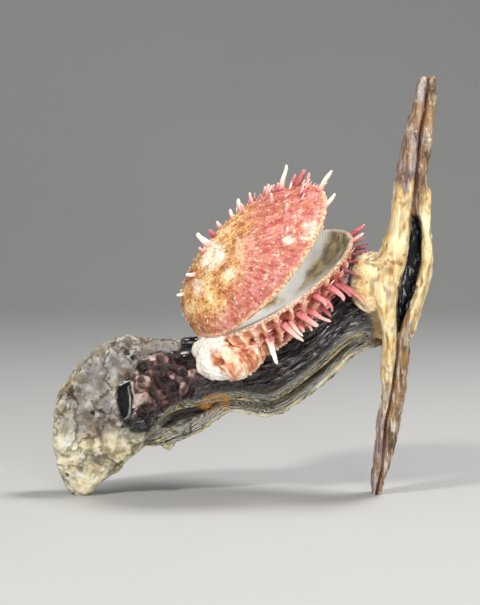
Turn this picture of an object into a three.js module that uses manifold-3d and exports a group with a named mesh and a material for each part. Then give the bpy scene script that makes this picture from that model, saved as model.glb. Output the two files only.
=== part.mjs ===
// A spiny oyster that grew on a hammer oyster. The hammer oyster stands on the lower tip of its hinge bar
// and on the thick end of its blade, and the spiny oyster gapes on top of the blade.
// Millimetres, +Z up. +X points from the end of the blade to the hinge bar, and -Y is the side the shells
// gape to.
import * as THREE from "three";
import { ParametricGeometry } from "three/addons/geometries/ParametricGeometry.js";
import { mergeVertices } from "three/addons/utils/BufferGeometryUtils.js";
import Module from "manifold-3d";

const wasm = await Module();
wasm.setup();

// The whole cluster
const CLEAR = 0.6; // gap where one shell sits against another
const CENTRE = [0, 17.86]; // middle of the outline on the ground, in X and Y
const GROUND_BLOCK = 400; // side of the block that trims the feet flat at Z 0
const FULL_TURN = Math.PI * 2;

// Hinge bar of the hammer oyster, lower tip to upper tip: height, left side, right side, middle in Y and
// half depth in Y. The two valves lie side by side and part in the middle, where the ligament sat.
const FRONT_BAR = [
  [-3, 52.6, 53.6, 9.8, 4.5],
  [4, 52.6, 54.4, 9.2, 5],
  [11, 52.6, 56.1, 8.4, 6],
  [21, 53.6, 56.6, 7.2, 7],
  [31, 54.6, 57.3, 5.8, 8],
  [40, 56.6, 58.8, 4.4, 9],
  [49, 55.6, 60.2, 3, 10],
  [60, 56.4, 61.4, 2, 11],
  [69, 55.4, 62.2, 2, 11.5],
  [78, 52.8, 63.2, 2, 12],
  [87, 51.6, 64.2, 2, 12],
  [96, 53.2, 66, 2, 11.5],
  [103, 56.2, 66.3, 2, 11],
  [109, 59, 67, 2.5, 10],
  [117, 60, 67.4, 2.5, 9.5],
  [125, 60.6, 68.4, 3, 8.5],
  [133, 62, 69.3, 4, 8],
  [141, 63.5, 70.1, 4.5, 7.5],
  [148, 64.6, 70.8, 5, 7],
  [155, 67.4, 72.4, 5.5, 6],
  [162, 69.2, 73.2, 6, 5.5],
  [169, 71, 73.8, 6.5, 4.5],
];
const BACK_BAR = [
  [-3, 54.2, 55.4, 9.8, 4.5],
  [4, 55, 56.8, 9.2, 5],
  [11, 56.7, 59.4, 8.4, 6],
  [21, 57.2, 61.2, 7.2, 7],
  [31, 57.9, 63.4, 5.8, 8],
  [40, 59.4, 64.8, 4.4, 9],
  [49, 60.8, 65.8, 3, 10],
  [60, 62, 66.8, 2, 11],
  [69, 62.8, 67.4, 2, 11.5],
  [78, 65.6, 70.4, 1, 11.5],
  [87, 69.2, 73.6, 0, 11],
  [96, 71.6, 75, 0, 10.5],
  [103, 71, 74.6, 1, 10.5],
  [109, 69.8, 73.2, 2, 10],
  [117, 68.5, 72.6, 2.5, 9.5],
  [125, 69, 72.8, 3, 8.5],
  [133, 69.9, 73.6, 4, 8],
  [141, 70.7, 74.8, 4.5, 7.5],
  [148, 71.4, 75.6, 5, 7],
  [155, 73, 76.2, 5.5, 6],
  [162, 73.8, 77.1, 6, 5.5],
  [169, 74.4, 77, 6.5, 4.5],
];
// Lobe of the back valve that bows out over the middle of the bar, in the same form
const BAR_LOBE = [
  [66, 67, 68.6, 0, 3],
  [70, 66.4, 69.4, 0, 5],
  [75, 66.2, 70.8, 0, 8],
  [80, 66.6, 72.2, 0, 9.5],
  [85, 68.2, 73.8, 0, 10],
  [90, 70.2, 74.8, 0, 10],
  [97, 71, 75, 0, 10],
  [105, 70.8, 75, 1, 9.5],
  [114, 71, 74.8, 2, 8.5],
  [121, 71.6, 75.2, 2.5, 6.5],
  [125, 72.6, 74.6, 2.5, 3.5],
];
// Dark web of the old ligament behind the gap between the bars, in the same form
const BAR_WEB = [
  [72, 62, 65.5, 7, 2.5],
  [80, 61.5, 67.5, 7, 3.5],
  [89, 61.5, 71, 7, 3.5],
  [98, 63.5, 73, 7, 3.5],
  [106, 65, 72, 7, 3.5],
  [113, 65.5, 70.5, 7, 2.5],
];
const BAR_CORNERS = 3; // exponent of the bar's rounded section
const BAR_FLAKE = 0.05; // how unevenly the bar's layers have worn
const TIP_ROUND = 0.02; // share of a bar that rounds off at each tip
// Where the front bar swells into the blade, and the ridge over it
const FLARE = { centre: [56, 3, 86.5], half: [10.5, 10, 12.5] };
const FLARE_RIDGE = { centre: [56, -4, 95], half: [7.5, 5, 2.2] };

// Blade of the hammer oyster, from inside the bar to the end it stands on: middle of the seam in X, Y, Z,
// direction across the blade in X, Y, Z, half width, front thickness, back thickness,
// and how far the front valve's lower edge stops short of the back valve's
const BLADE = [
  [66.4, -3, 82, 0.11, 0, 0.99, 18, 4, 4, 0],
  [66.4, 9, 81, 0.11, 0, 0.99, 19, 5, 5, 1],
  [60, 18, 78.2, 0.12, 0.12, 0.98, 17.8, 6, 4.5, 2],
  [49.3, 19.8, 73.6, 0.25, 0.4, 0.87, 19, 6.5, 4.5, 5.5],
  [34.5, 19.6, 61, 0.25, 0.5, 0.82, 21.2, 7, 5, 7.5],
  [15.3, 17.3, 50.8, 0.15, 0.53, 0.83, 21.6, 7.5, 5, 6],
  [-4, 15.2, 48.2, 0.05, 0.5, 0.86, 16.2, 7.5, 5, 4.5],
  [-15.6, 13.4, 44.3, 0.08, 0.42, 0.9, 19.4, 8, 5.5, 10],
  [-28.5, 12, 41.8, 0, 0.33, 0.94, 21, 8.5, 6, 12],
  [-38, 11, 41.6, -0.12, 0.28, 0.95, 22.6, 9, 6.5, 7],
  [-46, 10.3, 41.4, -0.3, 0.2, 0.93, 23, 9.5, 7, 2],
  [-54.6, 10, 35, -0.57, 0.12, 0.82, 21.8, 9.5, 7.5, 0],
  [-61.4, 10, 26.4, -0.73, 0.06, 0.68, 19.4, 9.5, 8, 0],
  [-64.4, 10, 17.4, -0.83, 0.03, 0.57, 15.4, 9, 8, 0],
  [-65.4, 10, 8.6, -0.96, 0, 0.27, 10.2, 8, 7.5, 0],
  [-65.6, 10, 3.2, -1, 0, 0, 6.8, 7.2, 7, 0],
  [-66, 10, -1.4, -1, 0, 0, 2.6, 6.4, 6.4, 0],
];
const SEAM = 0.9; // width of the line between the blade's two valves
const BLADE_EDGE = 0.55; // exponent that blunts the blade's long edges
const BLADE_ROUND = 0.03; // share of the blade that rounds off at each end
const LEDGES = { count: 8.5, rise: 1.8, sweep: 0.6 }; // growth ledges across the blade
const LUMP = 1.1; // height of the lumps all over the blade
const STRIP_RISE = 1.6; // how far the back valve's bare lower edge swells forward

// Spiny oyster: middle of its hinge line, the direction of that line, its wall, and how far each valve is
// raised about the hinge line
const HINGE = new THREE.Vector3(-14.4, -2, 64.6);
const HINGE_LINE = new THREE.Vector3(0.533, -0.846, 0.021).normalize();
const WALL = 3;
const RIBS = { count: 24, depth: 0.014 };
const GROWTH_STEPS = 7; // concentric steps from a valve's peak to its margin
const UPPER = {
  raise: 50.7, side: 1, lift: 0.6, halfWidth: 32.9, middle: 38.9, halfLength: 38.5,
  dome: 17.8, roundness: [2.3, 0.8], hingeSwell: 0.32, peakShift: 19.5, stepRise: 0.7,
  cavity: { middle: 39.5, halfLength: 35, dome: 14.6, peakShift: 17 },
};
const LOWER = {
  raise: 34, side: -1, lift: 0, halfWidth: 32.8, middle: 37.5, halfLength: 37.5,
  dome: 19.5, roundness: [2.2, 0.66], hingeSwell: 0.16, peakShift: 23, stepRise: 0.9,
  cavity: { middle: 38.5, halfLength: 34, dome: 12.5, peakShift: 12 },
};
// The lower valve's beak, the block under its hinge and the thick foot it is cemented by: middle along the
// hinge line, along the growth and outward, then the half sizes the same way
const BEAK = { at: [1, -4, 9.5], half: [8.5, 6.5, 7] };
const HINGE_BLOCK = { at: [0, -0.5, 7], half: [14, 6, 7] };
const CEMENTED_FOOT = { at: [7, 5, 12], half: [12, 13, 7.5] };
// Room under the upper valve's hinge, in that valve's own axes
const HINGE_SEAT = { at: [0, 5, 0.2], half: [22, 9, 1.4] };

// Spines of the upper valve: degrees round the margin, share of the way out to it, then from root to tip in
// X, Y and Z, and radius at the root
const UPPER_SPINES = [
  [104, 0.92, 2.8, 2, 10.6, 1.3],
  [97, 0.95, 2, 2, 5.5, 1],
  [94, 0.97, 3, 2, 7, 1.5],
  [85, 0.98, 1, 1, 5.5, 1.2],
  [67, 0.99, 5, 1, 8.5, 1.3],
  [43, 0.99, 4.6, -1, 5.4, 1.3],
  [114, 0.87, 1.2, 2, 4.8, 1.1],
  [120, 0.78, -1.2, 2, 4.4, 1],
  [131, 0.74, -1, 2, 5.2, 1.2],
  [136, 0.68, -1.2, 1.5, 3.6, 1],
  [146, 0.6, -1.6, 1, 3, 1],
  [142, 0.42, -2.4, 0, 3.4, 1.3],
  [146, 0.32, -5.4, -1, 5.4, 1.5],
  [155, 0.26, -2.6, -1, 2.4, 1.1],
  [226, 0.22, -3, -1, 0.4, 1.1],
  [244, 0.62, -2.8, -1, -0.2, 1],
  [108, 0.6, -1.5, -1, 3.5, 1],
  [80, 0.7, -0.5, -2, 3.5, 1],
  [50, 0.75, 0, -3, 2.6, 1],
  [20, 0.8, 0, -3.2, 2, 1],
  [128, 0.98, 0, 5, 6, 1.2],
  [141, 0.98, -1, 7, 4.5, 1.3],
  [154, 0.98, -2, 7, 3.5, 1.2],
  [167, 0.98, -3, 7, 2.5, 1.3],
  [180, 0.98, -4, 6.5, 1.5, 1.2],
  [194, 0.98, -4.5, 5.5, 0.5, 1.2],
  [208, 0.97, -5, 4, 0, 1.1],
];

// Spines of the lower valve, in the same form
const LOWER_SPINES = [
  [320, 0.9, 3.6, -3, -10, 1.6],
  [332, 0.95, 8.8, -4, -6.4, 1.3],
  [343, 0.96, 8.6, -4.5, -5, 1.4],
  [351, 0.93, 9.2, -4, -5, 1.3],
  [357, 0.98, 4.6, -3.5, -4.4, 1.3],
  [8, 0.96, 6, -4, -5.4, 1.7],
  [18, 0.92, 11, -5, -7.6, 1.8],
  [27, 0.95, 10, -4, -1, 1.3],
  [35, 0.97, 8.4, -2, -2.4, 1.3],
  [43, 0.97, 9.5, -1, 1.4, 1.1],
  [50, 0.98, 6, 0, 0.4, 1.2],
  [58, 0.99, 4.5, 0, 3.6, 1.4],
  [70, 0.99, 6.5, 2, 5, 1.8],
  [106, 0.99, 2, 3, 4, 1.1],
  [345, 0.84, 2.5, -3.5, -3, 1.3],
  [4, 0.84, 4.5, -3, -4.5, 1.3],
  [308, 0.9, 1.5, -4, -3, 1.2],
  [84, 0.97, 6, 5, 1.5, 1.3],
  [96, 0.97, 4, 8, 0, 1.4],
  [118, 0.97, 1, 8, 0.5, 1.3],
  [131, 0.97, -0.5, 8.5, -1, 1.5],
  [144, 0.97, -2, 8, -2, 1.4],
  [157, 0.97, -3.5, 8, -2, 1.5],
  [170, 0.97, -5, 7, -3, 1.3],
  [184, 0.97, -6, 5.5, -2.5, 1.4],
  [198, 0.97, -6, 4, -2, 1.2],
];
const SPINE = { faces: 5, shares: [0, 0.12, 0.55, 0.93, 1], taper: 0.45, curve: 0.14, root: 1.5 };

const COLOURS = { nearHammer: 0x4a4038, farHammer: 0x6b6254, rose: 0xc96f62, blush: 0xd99a84 };

// The values of a table at share t of its length, by a smooth curve through its rows.
function along(rows, t) {
  const x = THREE.MathUtils.clamp(t, 0, 1) * (rows.length - 1);
  const i = Math.min(Math.floor(x), rows.length - 2);
  const row = (k) => rows[THREE.MathUtils.clamp(i + k, 0, rows.length - 1)];
  const [a, b, c, d] = [row(-1), row(0), row(1), row(2)];
  const f = x - i;
  return b.map((from, j) => {
    const leave = (c[j] - a[j]) / 2;
    const arrive = (d[j] - from) / 2;
    const rise = c[j] - from;
    const bend = 3 * rise - 2 * leave - arrive;
    return from + leave * f + bend * f ** 2 + (leave + arrive - 2 * rise) * f ** 3;
  });
}

const signedPower = (x, e) => Math.sign(x) * Math.abs(x) ** e;

// Shares along a length, close together where its two ends round off.
function endedShares(count, round) {
  const inner = Array.from({ length: count + 1 }, (_, i) => round + ((1 - 2 * round) * i) / count);
  return [0, round * 0.15, round * 0.5, ...inner, 1 - round * 0.5, 1 - round * 0.15, 1];
}

// How much of its full section a length has at share v, when the given share rounds off at either end.
function endSize(v, round) {
  const near = Math.min(v, 1 - v) / round;
  return near >= 1 ? 1 : Math.sqrt(Math.max(0, 1 - (1 - near) ** 2));
}

// A solid from a closed surface: round and round in u, and drawn to a point at the first and last of its
// shares.
function solidOf(surface, slices, shares) {
  const stacks = shares.length - 1;
  const sheet = new ParametricGeometry(
    (u, v, out) => surface(u >= 1 ? 0 : u, shares[Math.round(v * stacks)], out), slices, stacks);
  return solidFrom(sheet);
}

// A three.js geometry as a solid, without the triangles that collapse at its poles.
function solidFrom(geometry) {
  geometry.deleteAttribute("normal");
  geometry.deleteAttribute("uv");
  const merged = mergeVertices(geometry, 1e-3);
  const corners = merged.index.array;
  const kept = [];
  for (let i = 0; i < corners.length; i += 3) {
    const [a, b, c] = corners.slice(i, i + 3);
    if (a !== b && b !== c && c !== a) kept.push(a, b, c);
  }
  const vertProperties = merged.attributes.position.array;
  const build = (list) =>
    new wasm.Manifold(new wasm.Mesh({ numProp: 3, vertProperties, triVerts: new Uint32Array(list) }));
  const solid = build(kept);
  return solid.volume() > 0 ? solid : build(kept.reverse());
}

const fuse = (solids) => solids.reduce((a, b) => a.add(b));

// The largest piece of a solid that a cut may have parted.
const largest = (solid) => solid.decompose().reduce((a, b) => (b.volume() > a.volume() ? b : a));

function meshOf(name, solid, color) {
  const { numProp, numVert, vertProperties, triVerts } = solid.getMesh();
  const points = new Float32Array(numVert * 3);
  for (let i = 0; i < numVert; i++) {
    points.set(vertProperties.subarray(i * numProp, i * numProp + 3), i * 3);
  }
  const geometry = new THREE.BufferGeometry()
    .setAttribute("position", new THREE.BufferAttribute(points, 3))
    .setIndex(new THREE.BufferAttribute(triVerts, 1));
  geometry.computeVertexNormals();
  const material = new THREE.MeshStandardMaterial({ color, roughness: 0.6, metalness: 0 });
  const mesh = new THREE.Mesh(geometry, material);
  mesh.name = name;
  return mesh;
}

function ball(centre, half, grow = 0) {
  const round = new THREE.SphereGeometry(1, 12, 8);
  round.scale(half[0] + grow, half[1] + grow, half[2] + grow);
  round.translate(...centre);
  return solidFrom(round);
}

// A bar whose rounded section follows a table of heights, grown outward by the given amount.
function barOf(rows, grow) {
  const shares = endedShares(rows.length - 1, TIP_ROUND);
  return solidOf((u, v, out) => {
    const [z, left, right, middle, depth] = along(rows, v);
    const size = endSize(v, TIP_ROUND);
    const angle = u * FULL_TURN;
    const wear = 1 + BAR_FLAKE * Math.sin(v * 61) * Math.sin(v * 23 + 2 * angle);
    const across = signedPower(Math.cos(angle), 2 / BAR_CORNERS);
    const deep = signedPower(Math.sin(angle), 2 / BAR_CORNERS) * wear;
    return out.set(
      (left + right) / 2 + size * ((right - left) / 2 + grow) * across,
      middle + size * (depth + grow) * deep,
      z + grow * (2 * v - 1),
    );
  }, 10, shares);
}

// The blade's seam at share v, and two directions of its section there: across the blade and out of its front.
function bladeFrame(v) {
  const step = 0.01;
  const [x, y, z, ax, ay, az, halfWidth, frontThick, backThick, stop] = along(BLADE, v);
  const ahead = new THREE.Vector3(...along(BLADE, Math.min(1, v + step)));
  const behind = new THREE.Vector3(...along(BLADE, Math.max(0, v - step)));
  const forward = ahead.sub(behind).normalize();
  const across = new THREE.Vector3(ax, ay, az).normalize();
  const front = new THREE.Vector3().crossVectors(across, forward).normalize();
  const seam = new THREE.Vector3(x, y, z);
  return { seam, forward, across, front, halfWidth, frontThick, backThick, stop };
}

// Height of the worn lumps on the blade at a point: v along it and w across it, -1 to 1.
function lumpAt(v, w) {
  const broad = Math.sin(v * 43 + 2.6 * w) * Math.cos(v * 17 - 3.1 * w);
  return LUMP * (broad + 0.6 * Math.sin(v * 83 + 5.5 * w + 1));
}

// One valve's half of the blade: its section is flat at the seam and crowned outside, and growth ledges
// step along it.
function bladeHalf(isFront, grow) {
  return solidOf((u, v, out) => {
    const frame = bladeFrame(v);
    const size = endSize(v, BLADE_ROUND);
    const angle = u * FULL_TURN;
    const w = signedPower(Math.cos(angle), 0.8);
    const rise = Math.max(0, Math.sin(angle)) ** BLADE_EDGE;
    const stop = isFront ? frame.stop : 0;
    const thick = isFront ? frame.frontThick : frame.backThick;
    const phase = v * LEDGES.count + LEDGES.sweep * w * w + (isFront ? 0 : 0.4);
    const ledge = LEDGES.rise * (0.5 - (phase - Math.floor(phase)));
    const across = stop / 2 + w * (frame.halfWidth - stop / 2 + grow);
    const bare = (frame.halfWidth + across) / Math.max(frame.stop, 1);
    const strip = THREE.MathUtils.smoothstep(frame.stop, 3, 6) * Math.max(0, 1 - (2.4 * bare - 1) ** 2);
    const swell = isFront ? 0 : STRIP_RISE * strip;
    const base = SEAM / 2 - grow - (rise > 0 ? 0 : swell);
    const crown = rise * (thick + 2 * grow + ledge + lumpAt(v, w));
    return out.copy(frame.seam)
      .addScaledVector(frame.forward, grow * (2 * v - 1))
      .addScaledVector(frame.across, size * across)
      .addScaledVector(frame.front, (isFront ? 1 : -1) * (base + size * crown));
  }, 14, endedShares(28, BLADE_ROUND));
}

function frontHammerValve(grow = 0) {
  return fuse([
    barOf(FRONT_BAR, grow),
    ball(FLARE.centre, FLARE.half, grow),
    ball(FLARE_RIDGE.centre, FLARE_RIDGE.half, grow),
    bladeHalf(true, grow),
  ]);
}

function backHammerValve(grow = 0) {
  const bars = [BACK_BAR, BAR_LOBE, BAR_WEB].map((rows) => barOf(rows, grow));
  return fuse([...bars, bladeHalf(false, grow)]);
}

// A spiny valve's own axes: along the hinge line, from the hinge to the far margin, and up out of the
// margin's plane.
function valveAxes(valve) {
  const level = new THREE.Vector3(0, 0, 1).cross(HINGE_LINE).normalize();
  const rising = new THREE.Vector3().crossVectors(HINGE_LINE, level).normalize();
  const turn = THREE.MathUtils.degToRad(valve.raise);
  return {
    across: HINGE_LINE,
    growth: level.clone().multiplyScalar(Math.cos(turn)).addScaledVector(rising, Math.sin(turn)),
    up: level.clone().multiplyScalar(-Math.sin(turn)).addScaledVector(rising, Math.cos(turn)),
  };
}

// A point given along the hinge line, along the growth and up, from the middle of the hinge line.
function inValve(valve, x, y, h, out) {
  const { across, growth, up } = valveAxes(valve);
  return out.copy(HINGE).addScaledVector(across, x).addScaledVector(growth, y).addScaledVector(up, h);
}

// A point of a valve's outer face, at an angle round the margin and a share of the way out from its peak to
// the margin.
function valvePoint(valve, angle, share, out) {
  const c = Math.cos(angle);
  const s = Math.sin(angle);
  const toHinge = Math.max(0, -s);
  const [flat, steep] = valve.roundness;
  const narrowing = 1 - 0.14 * toHinge ** 1.5;
  const rib = 1 + RIBS.depth * Math.cos(RIBS.count * angle) * share ** 2;
  const phase = share * GROWTH_STEPS;
  const step = valve.stepRise * (phase - Math.floor(phase) - 0.5) * share * (1 - share) * 4;
  const x = valve.halfWidth * signedPower(c, 0.88) * narrowing * share * rib;
  const reach = valve.halfLength * signedPower(s, 0.92) * share * rib;
  const y = valve.middle - valve.peakShift * (1 - share) + reach;
  const dome = valve.dome * Math.max(0, 1 - share ** flat) ** (steep - valve.hingeSwell * toHinge);
  return inValve(valve, x, y, valve.lift + valve.side * (dome - step), out);
}

// The bowl-shaped solid under a valve's outer face, closed flat across its margin.
function bowl(valve, slices, rings) {
  const shares = Array.from({ length: rings + 1 }, (_, i) => (i / rings) ** 0.8);
  return solidOf((u, v, out) => {
    valvePoint(valve, u * FULL_TURN, Math.min(1, v), out);
    if (v <= 1) return out;
    return out.lerp(inValve(valve, 0, valve.middle, valve.lift, new THREE.Vector3()), v - 1);
  }, slices, [...shares, 1.5, 2]);
}

function cavityOf(valve) {
  const overshoot = 0.5;
  return bowl({
    ...valve,
    ...valve.cavity,
    stepRise: 0,
    halfWidth: valve.halfWidth - WALL,
    dome: valve.cavity.dome + overshoot,
    lift: valve.lift - valve.side * overshoot,
  }, 26, 5);
}

// A spine: a curved horn from inside the shell's wall to a blunt tip.
function spine(valve, [angle, share, x, y, z, radius]) {
  const root = valvePoint(valve, THREE.MathUtils.degToRad(angle), share, new THREE.Vector3());
  const tip = new THREE.Vector3(x, y, z).add(root);
  const inward = inValve(valve, 0, valve.middle, 0, new THREE.Vector3()).sub(root).normalize();
  const bend = root.clone().lerp(tip, 0.5).addScaledVector(inward, -SPINE.curve * root.distanceTo(tip));
  const start = root.clone().addScaledVector(inward, SPINE.root);
  const horn = new THREE.QuadraticBezierCurve3(start, bend, tip);
  const sideways = new THREE.Vector3();
  const other = new THREE.Vector3();
  return solidOf((u, v, out) => {
    const forward = horn.getTangentAt(v);
    sideways.set(0.31, 0.12, 1).cross(forward).normalize();
    other.crossVectors(forward, sideways);
    const r = v <= 0 || v >= 1 ? 0 : radius * (1.1 - SPINE.taper * v);
    return out.copy(horn.getPointAt(v))
      .addScaledVector(sideways, r * Math.cos(u * FULL_TURN))
      .addScaledVector(other, r * Math.sin(u * FULL_TURN));
  }, SPINE.faces, SPINE.shares);
}

// A ball in a valve's own axes
function knob(valve, { at, half }) {
  const { across, growth, up } = valveAxes(valve);
  const round = new THREE.SphereGeometry(1, 12, 7);
  const frame = new THREE.Matrix4().makeBasis(across, growth, up).scale(new THREE.Vector3(...half));
  frame.setPosition(inValve(valve, at[0], at[1], valve.side * at[2], new THREE.Vector3()));
  return solidFrom(round.applyMatrix4(frame));
}

function spinyValve(valve, spines, extras = []) {
  const horns = spines.map((row) => spine(valve, row));
  return fuse([bowl(valve, 36, 8), ...extras, ...horns]).subtract(cavityOf(valve));
}

// Assembly: each shell is trimmed clear of the one it sits against, and the feet are cut flat on the ground.
const underground = solidFrom(new THREE.BoxGeometry(GROUND_BLOCK, GROUND_BLOCK, GROUND_BLOCK))
  .translate([0, 0, -GROUND_BLOCK / 2]);
const frontHammer = frontHammerValve().subtract(underground);
const backHammer = backHammerValve().subtract(frontHammerValve(CLEAR)).subtract(underground);
const upper = spinyValve(UPPER, UPPER_SPINES);
const lowerKnobs = [BEAK, HINGE_BLOCK, CEMENTED_FOOT].map((place) => knob(LOWER, place));
const lower = spinyValve(LOWER, LOWER_SPINES, lowerKnobs)
  .subtract(knob(UPPER, HINGE_SEAT))
  .subtract(frontHammerValve(CLEAR))
  .subtract(backHammerValve(CLEAR));

const shells = new THREE.Group();
shells.add(meshOf("hammer_front_valve", largest(frontHammer), COLOURS.nearHammer));
shells.add(meshOf("hammer_back_valve", largest(backHammer), COLOURS.farHammer));
shells.add(meshOf("spiny_lower_valve", largest(lower), COLOURS.blush));
shells.add(meshOf("spiny_upper_valve", largest(upper), COLOURS.rose));
shells.position.set(-CENTRE[0], -CENTRE[1], 0);

export default shells;
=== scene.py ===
import itertools
import math

import bpy
import numpy as np
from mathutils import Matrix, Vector


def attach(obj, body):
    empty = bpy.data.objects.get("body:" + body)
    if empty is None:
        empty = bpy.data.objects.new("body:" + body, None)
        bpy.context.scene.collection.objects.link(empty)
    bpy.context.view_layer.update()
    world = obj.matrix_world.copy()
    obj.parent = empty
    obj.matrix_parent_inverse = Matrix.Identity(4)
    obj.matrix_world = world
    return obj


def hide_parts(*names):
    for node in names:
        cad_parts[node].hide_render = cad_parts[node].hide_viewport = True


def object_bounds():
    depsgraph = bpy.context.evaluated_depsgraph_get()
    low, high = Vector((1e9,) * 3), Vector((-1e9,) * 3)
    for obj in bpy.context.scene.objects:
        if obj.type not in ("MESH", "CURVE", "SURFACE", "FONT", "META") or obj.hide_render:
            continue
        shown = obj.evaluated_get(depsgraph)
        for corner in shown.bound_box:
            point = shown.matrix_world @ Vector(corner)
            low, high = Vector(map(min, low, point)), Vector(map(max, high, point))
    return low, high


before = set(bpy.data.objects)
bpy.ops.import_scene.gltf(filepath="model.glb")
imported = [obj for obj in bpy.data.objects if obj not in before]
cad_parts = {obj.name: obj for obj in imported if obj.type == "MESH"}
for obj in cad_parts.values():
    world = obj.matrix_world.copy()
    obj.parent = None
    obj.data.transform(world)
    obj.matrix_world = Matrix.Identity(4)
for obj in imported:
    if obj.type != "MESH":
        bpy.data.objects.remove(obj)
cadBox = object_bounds()
print("frame loaded", cadBox)

mm = 0.001
perMetre = 1000.0  # millimetres in a metre, for node sockets
fullTurn = 2 * math.pi
centre = np.array([0.0, 17.86, 0.0])  # the tables below are in millimetres, in front of this middle
picture = {"middle": 243, "floor": 499, "pixel": 0.4}  # in pixels, and a pixel in millimetres
topHeight = 169  # of the hinge bar's upper tip
rimTeeth = 112  # along the margin of each spiny valve

# The studio: a pale sweep, soft lights and the photograph's view
studio = {
    "floorHalf": 4.0,
    "floorBack": 1.0,
    "floorRise": 0.9,
    "wall": 2.5,
    "worldColour": (0.9, 0.92, 0.95, 1),
    "worldStrength": 0.3,
    "cameraAim": (-1.2, -17.86, 78.6),
    "cameraRise": 4.0,
    "cameraDistance": 806.0,
    "frameHeight": 242.0,
    "sensor": 36,
    "lightAim": (0, 0, 0.08),
    "lights": [  # place in metres, size, watts, colour
        ((-0.45, -0.6, 0.75), 0.16, 5.8, (1, 0.98, 0.95)),
        ((0.2, -0.93, 0.14), 0.24, 5.4, (0.97, 0.98, 1)),
        ((0.4, 0.1, 0.9), 0.3, 7.6, (1, 1, 1)),
    ],
}


def smooth(x, low, high):
    # 0 below low, 1 above high, and t*t*(3-2t) between
    t = np.clip((x - low) / (high - low), 0, 1)
    return t * t * (3 - 2 * t)


def signedPower(x, power):
    return np.sign(x) * np.abs(x) ** power


def unit(v):
    return v / np.maximum(np.linalg.norm(v, axis=-1, keepdims=True), 1e-12)


def valueNoise(p, seed):
    # random values -1 to 1 on whole-number corners of space, blended by t*t*(3-2t) along each axis
    cell = np.floor(p).astype(np.int64)
    f = p - cell
    f = f * f * (3 - 2 * f)
    total = np.zeros(p.shape[:-1])
    for corner in itertools.product((0, 1), repeat=3):
        n = cell + np.array(corner)
        h = n[..., 0] * 374761393 + n[..., 1] * 668265263 + n[..., 2] * 1440662683 + seed * 974711
        h = ((h ^ (h >> 13)) * 1274126177) & 0x7FFFFFFF
        h = (h ^ (h >> 16)) & 0xFFFF
        weight = np.prod(np.where(corner, f, 1 - f), axis=-1)
        total += weight * (h / 32767.5 - 1)
    return total


def fractal(p, size, octaves=3, seed=0):
    # the sum of noises, each of half the size and half the height of the one before
    total = np.zeros(p.shape[:-1])
    for k in range(octaves):
        total += valueNoise(np.asarray(p) / size * 2 ** k, seed + 17 * k) / 2 ** k
    return total / (2 - 0.5 ** (octaves - 1))


def ridged(p, size, octaves=3, seed=0):
    # 1 on thin crests, falling away to both sides
    return 1 - 2 * np.abs(fractal(p, size, octaves, seed))


def saw(x):
    return x - np.floor(x)


def along(rows, t):
    # values of a table at share t of its length, by a smooth curve through its rows
    rows = np.asarray(rows, float)
    x = np.clip(t, 0, 1) * (len(rows) - 1)
    i = np.minimum(np.floor(x).astype(int), len(rows) - 2)
    f = (x - i)[..., None]
    a, b, c, d = (rows[np.clip(i + k, 0, len(rows) - 1)] for k in (-1, 0, 1, 2))
    leave, arrive, rise = (c - a) / 2, (d - b) / 2, c - b
    bend = 3 * rise - 2 * leave - arrive
    return b + leave * f + bend * f ** 2 + (leave + arrive - 2 * rise) * f ** 3


def endSize(v, share):
    # share of the full section at v, when both ends round off
    near = np.minimum(v, 1 - v) / share
    return np.where(near >= 1, 1, np.sqrt(np.maximum(0, 1 - (1 - np.minimum(near, 1)) ** 2)))


def insideOutline(x, z, corners, soft, ragged=0):
    # 1 inside a closed outline of listed corners, 0 outside, over a soft edge
    c = np.asarray(corners, float)
    a, b = c, np.roll(c, -1, axis=0)
    px, pz = x[:, None], z[:, None]
    ab = b - a
    t = ((px - a[:, 0]) * ab[:, 0] + (pz - a[:, 1]) * ab[:, 1]) / (ab ** 2).sum(1)
    t = np.clip(t, 0, 1)
    far = np.hypot(px - a[:, 0] - t * ab[:, 0], pz - a[:, 1] - t * ab[:, 1]).min(1)
    crosses = (a[:, 1] > pz) != (b[:, 1] > pz)
    lean = ab[:, 0] / np.where(ab[:, 1] == 0, 1e-9, ab[:, 1])
    inside = (crosses & (px < a[:, 0] + (pz - a[:, 1]) * lean)).sum(1) % 2 == 1
    return smooth(np.where(inside, far, -far) + ragged, -soft, soft)


def inPicture(corners):
    # corners in the photograph's pixels as X and Z in millimetres, on the plane through the front of the shells
    pixel = picture["pixel"]
    return [((x - picture["middle"]) * pixel, (picture["floor"] - y) * pixel) for x, y in corners]


def gridPart(points, **values):
    # one closed surface from rings of points: its first and last rings are poles
    rings, around = points.shape[:2]
    first, last = points[0].mean(0), points[-1].mean(0)
    inner = points[1:-1]
    vertices = np.concatenate([first[None], inner.reshape(-1, 3), last[None]])
    k = np.arange(rings - 3)[:, None] * around
    j = np.arange(around)[None, :]
    jn = (j + 1) % around
    a, b, c, d = 1 + k + j, 1 + k + jn, 1 + k + around + jn, 1 + k + around + j
    sides = np.concatenate([np.stack([a, b, c], -1).reshape(-1, 3), np.stack([a, c, d], -1).reshape(-1, 3)])
    ring = np.arange(around)
    nextOne = (ring + 1) % around
    end = 1 + (rings - 3) * around
    top = np.stack([np.zeros(around, int), 1 + nextOne, 1 + ring], -1)
    bottom = np.stack([np.full(around, len(vertices) - 1), end + ring, end + nextOne], -1)
    faces = np.concatenate([sides, top, bottom])
    t = vertices[faces]
    if np.einsum("ij,ij->i", t[:, 0], np.cross(t[:, 1], t[:, 2])).sum() < 0:
        faces = faces[:, ::-1]
    kept = {}
    for name, value in values.items():
        value = np.broadcast_to(value, (rings, around))
        kept[name] = np.concatenate([[value[0].mean()], value[1:-1].reshape(-1), [value[-1].mean()]])
    return {"points": vertices, "faces": faces, "values": kept}


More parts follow.
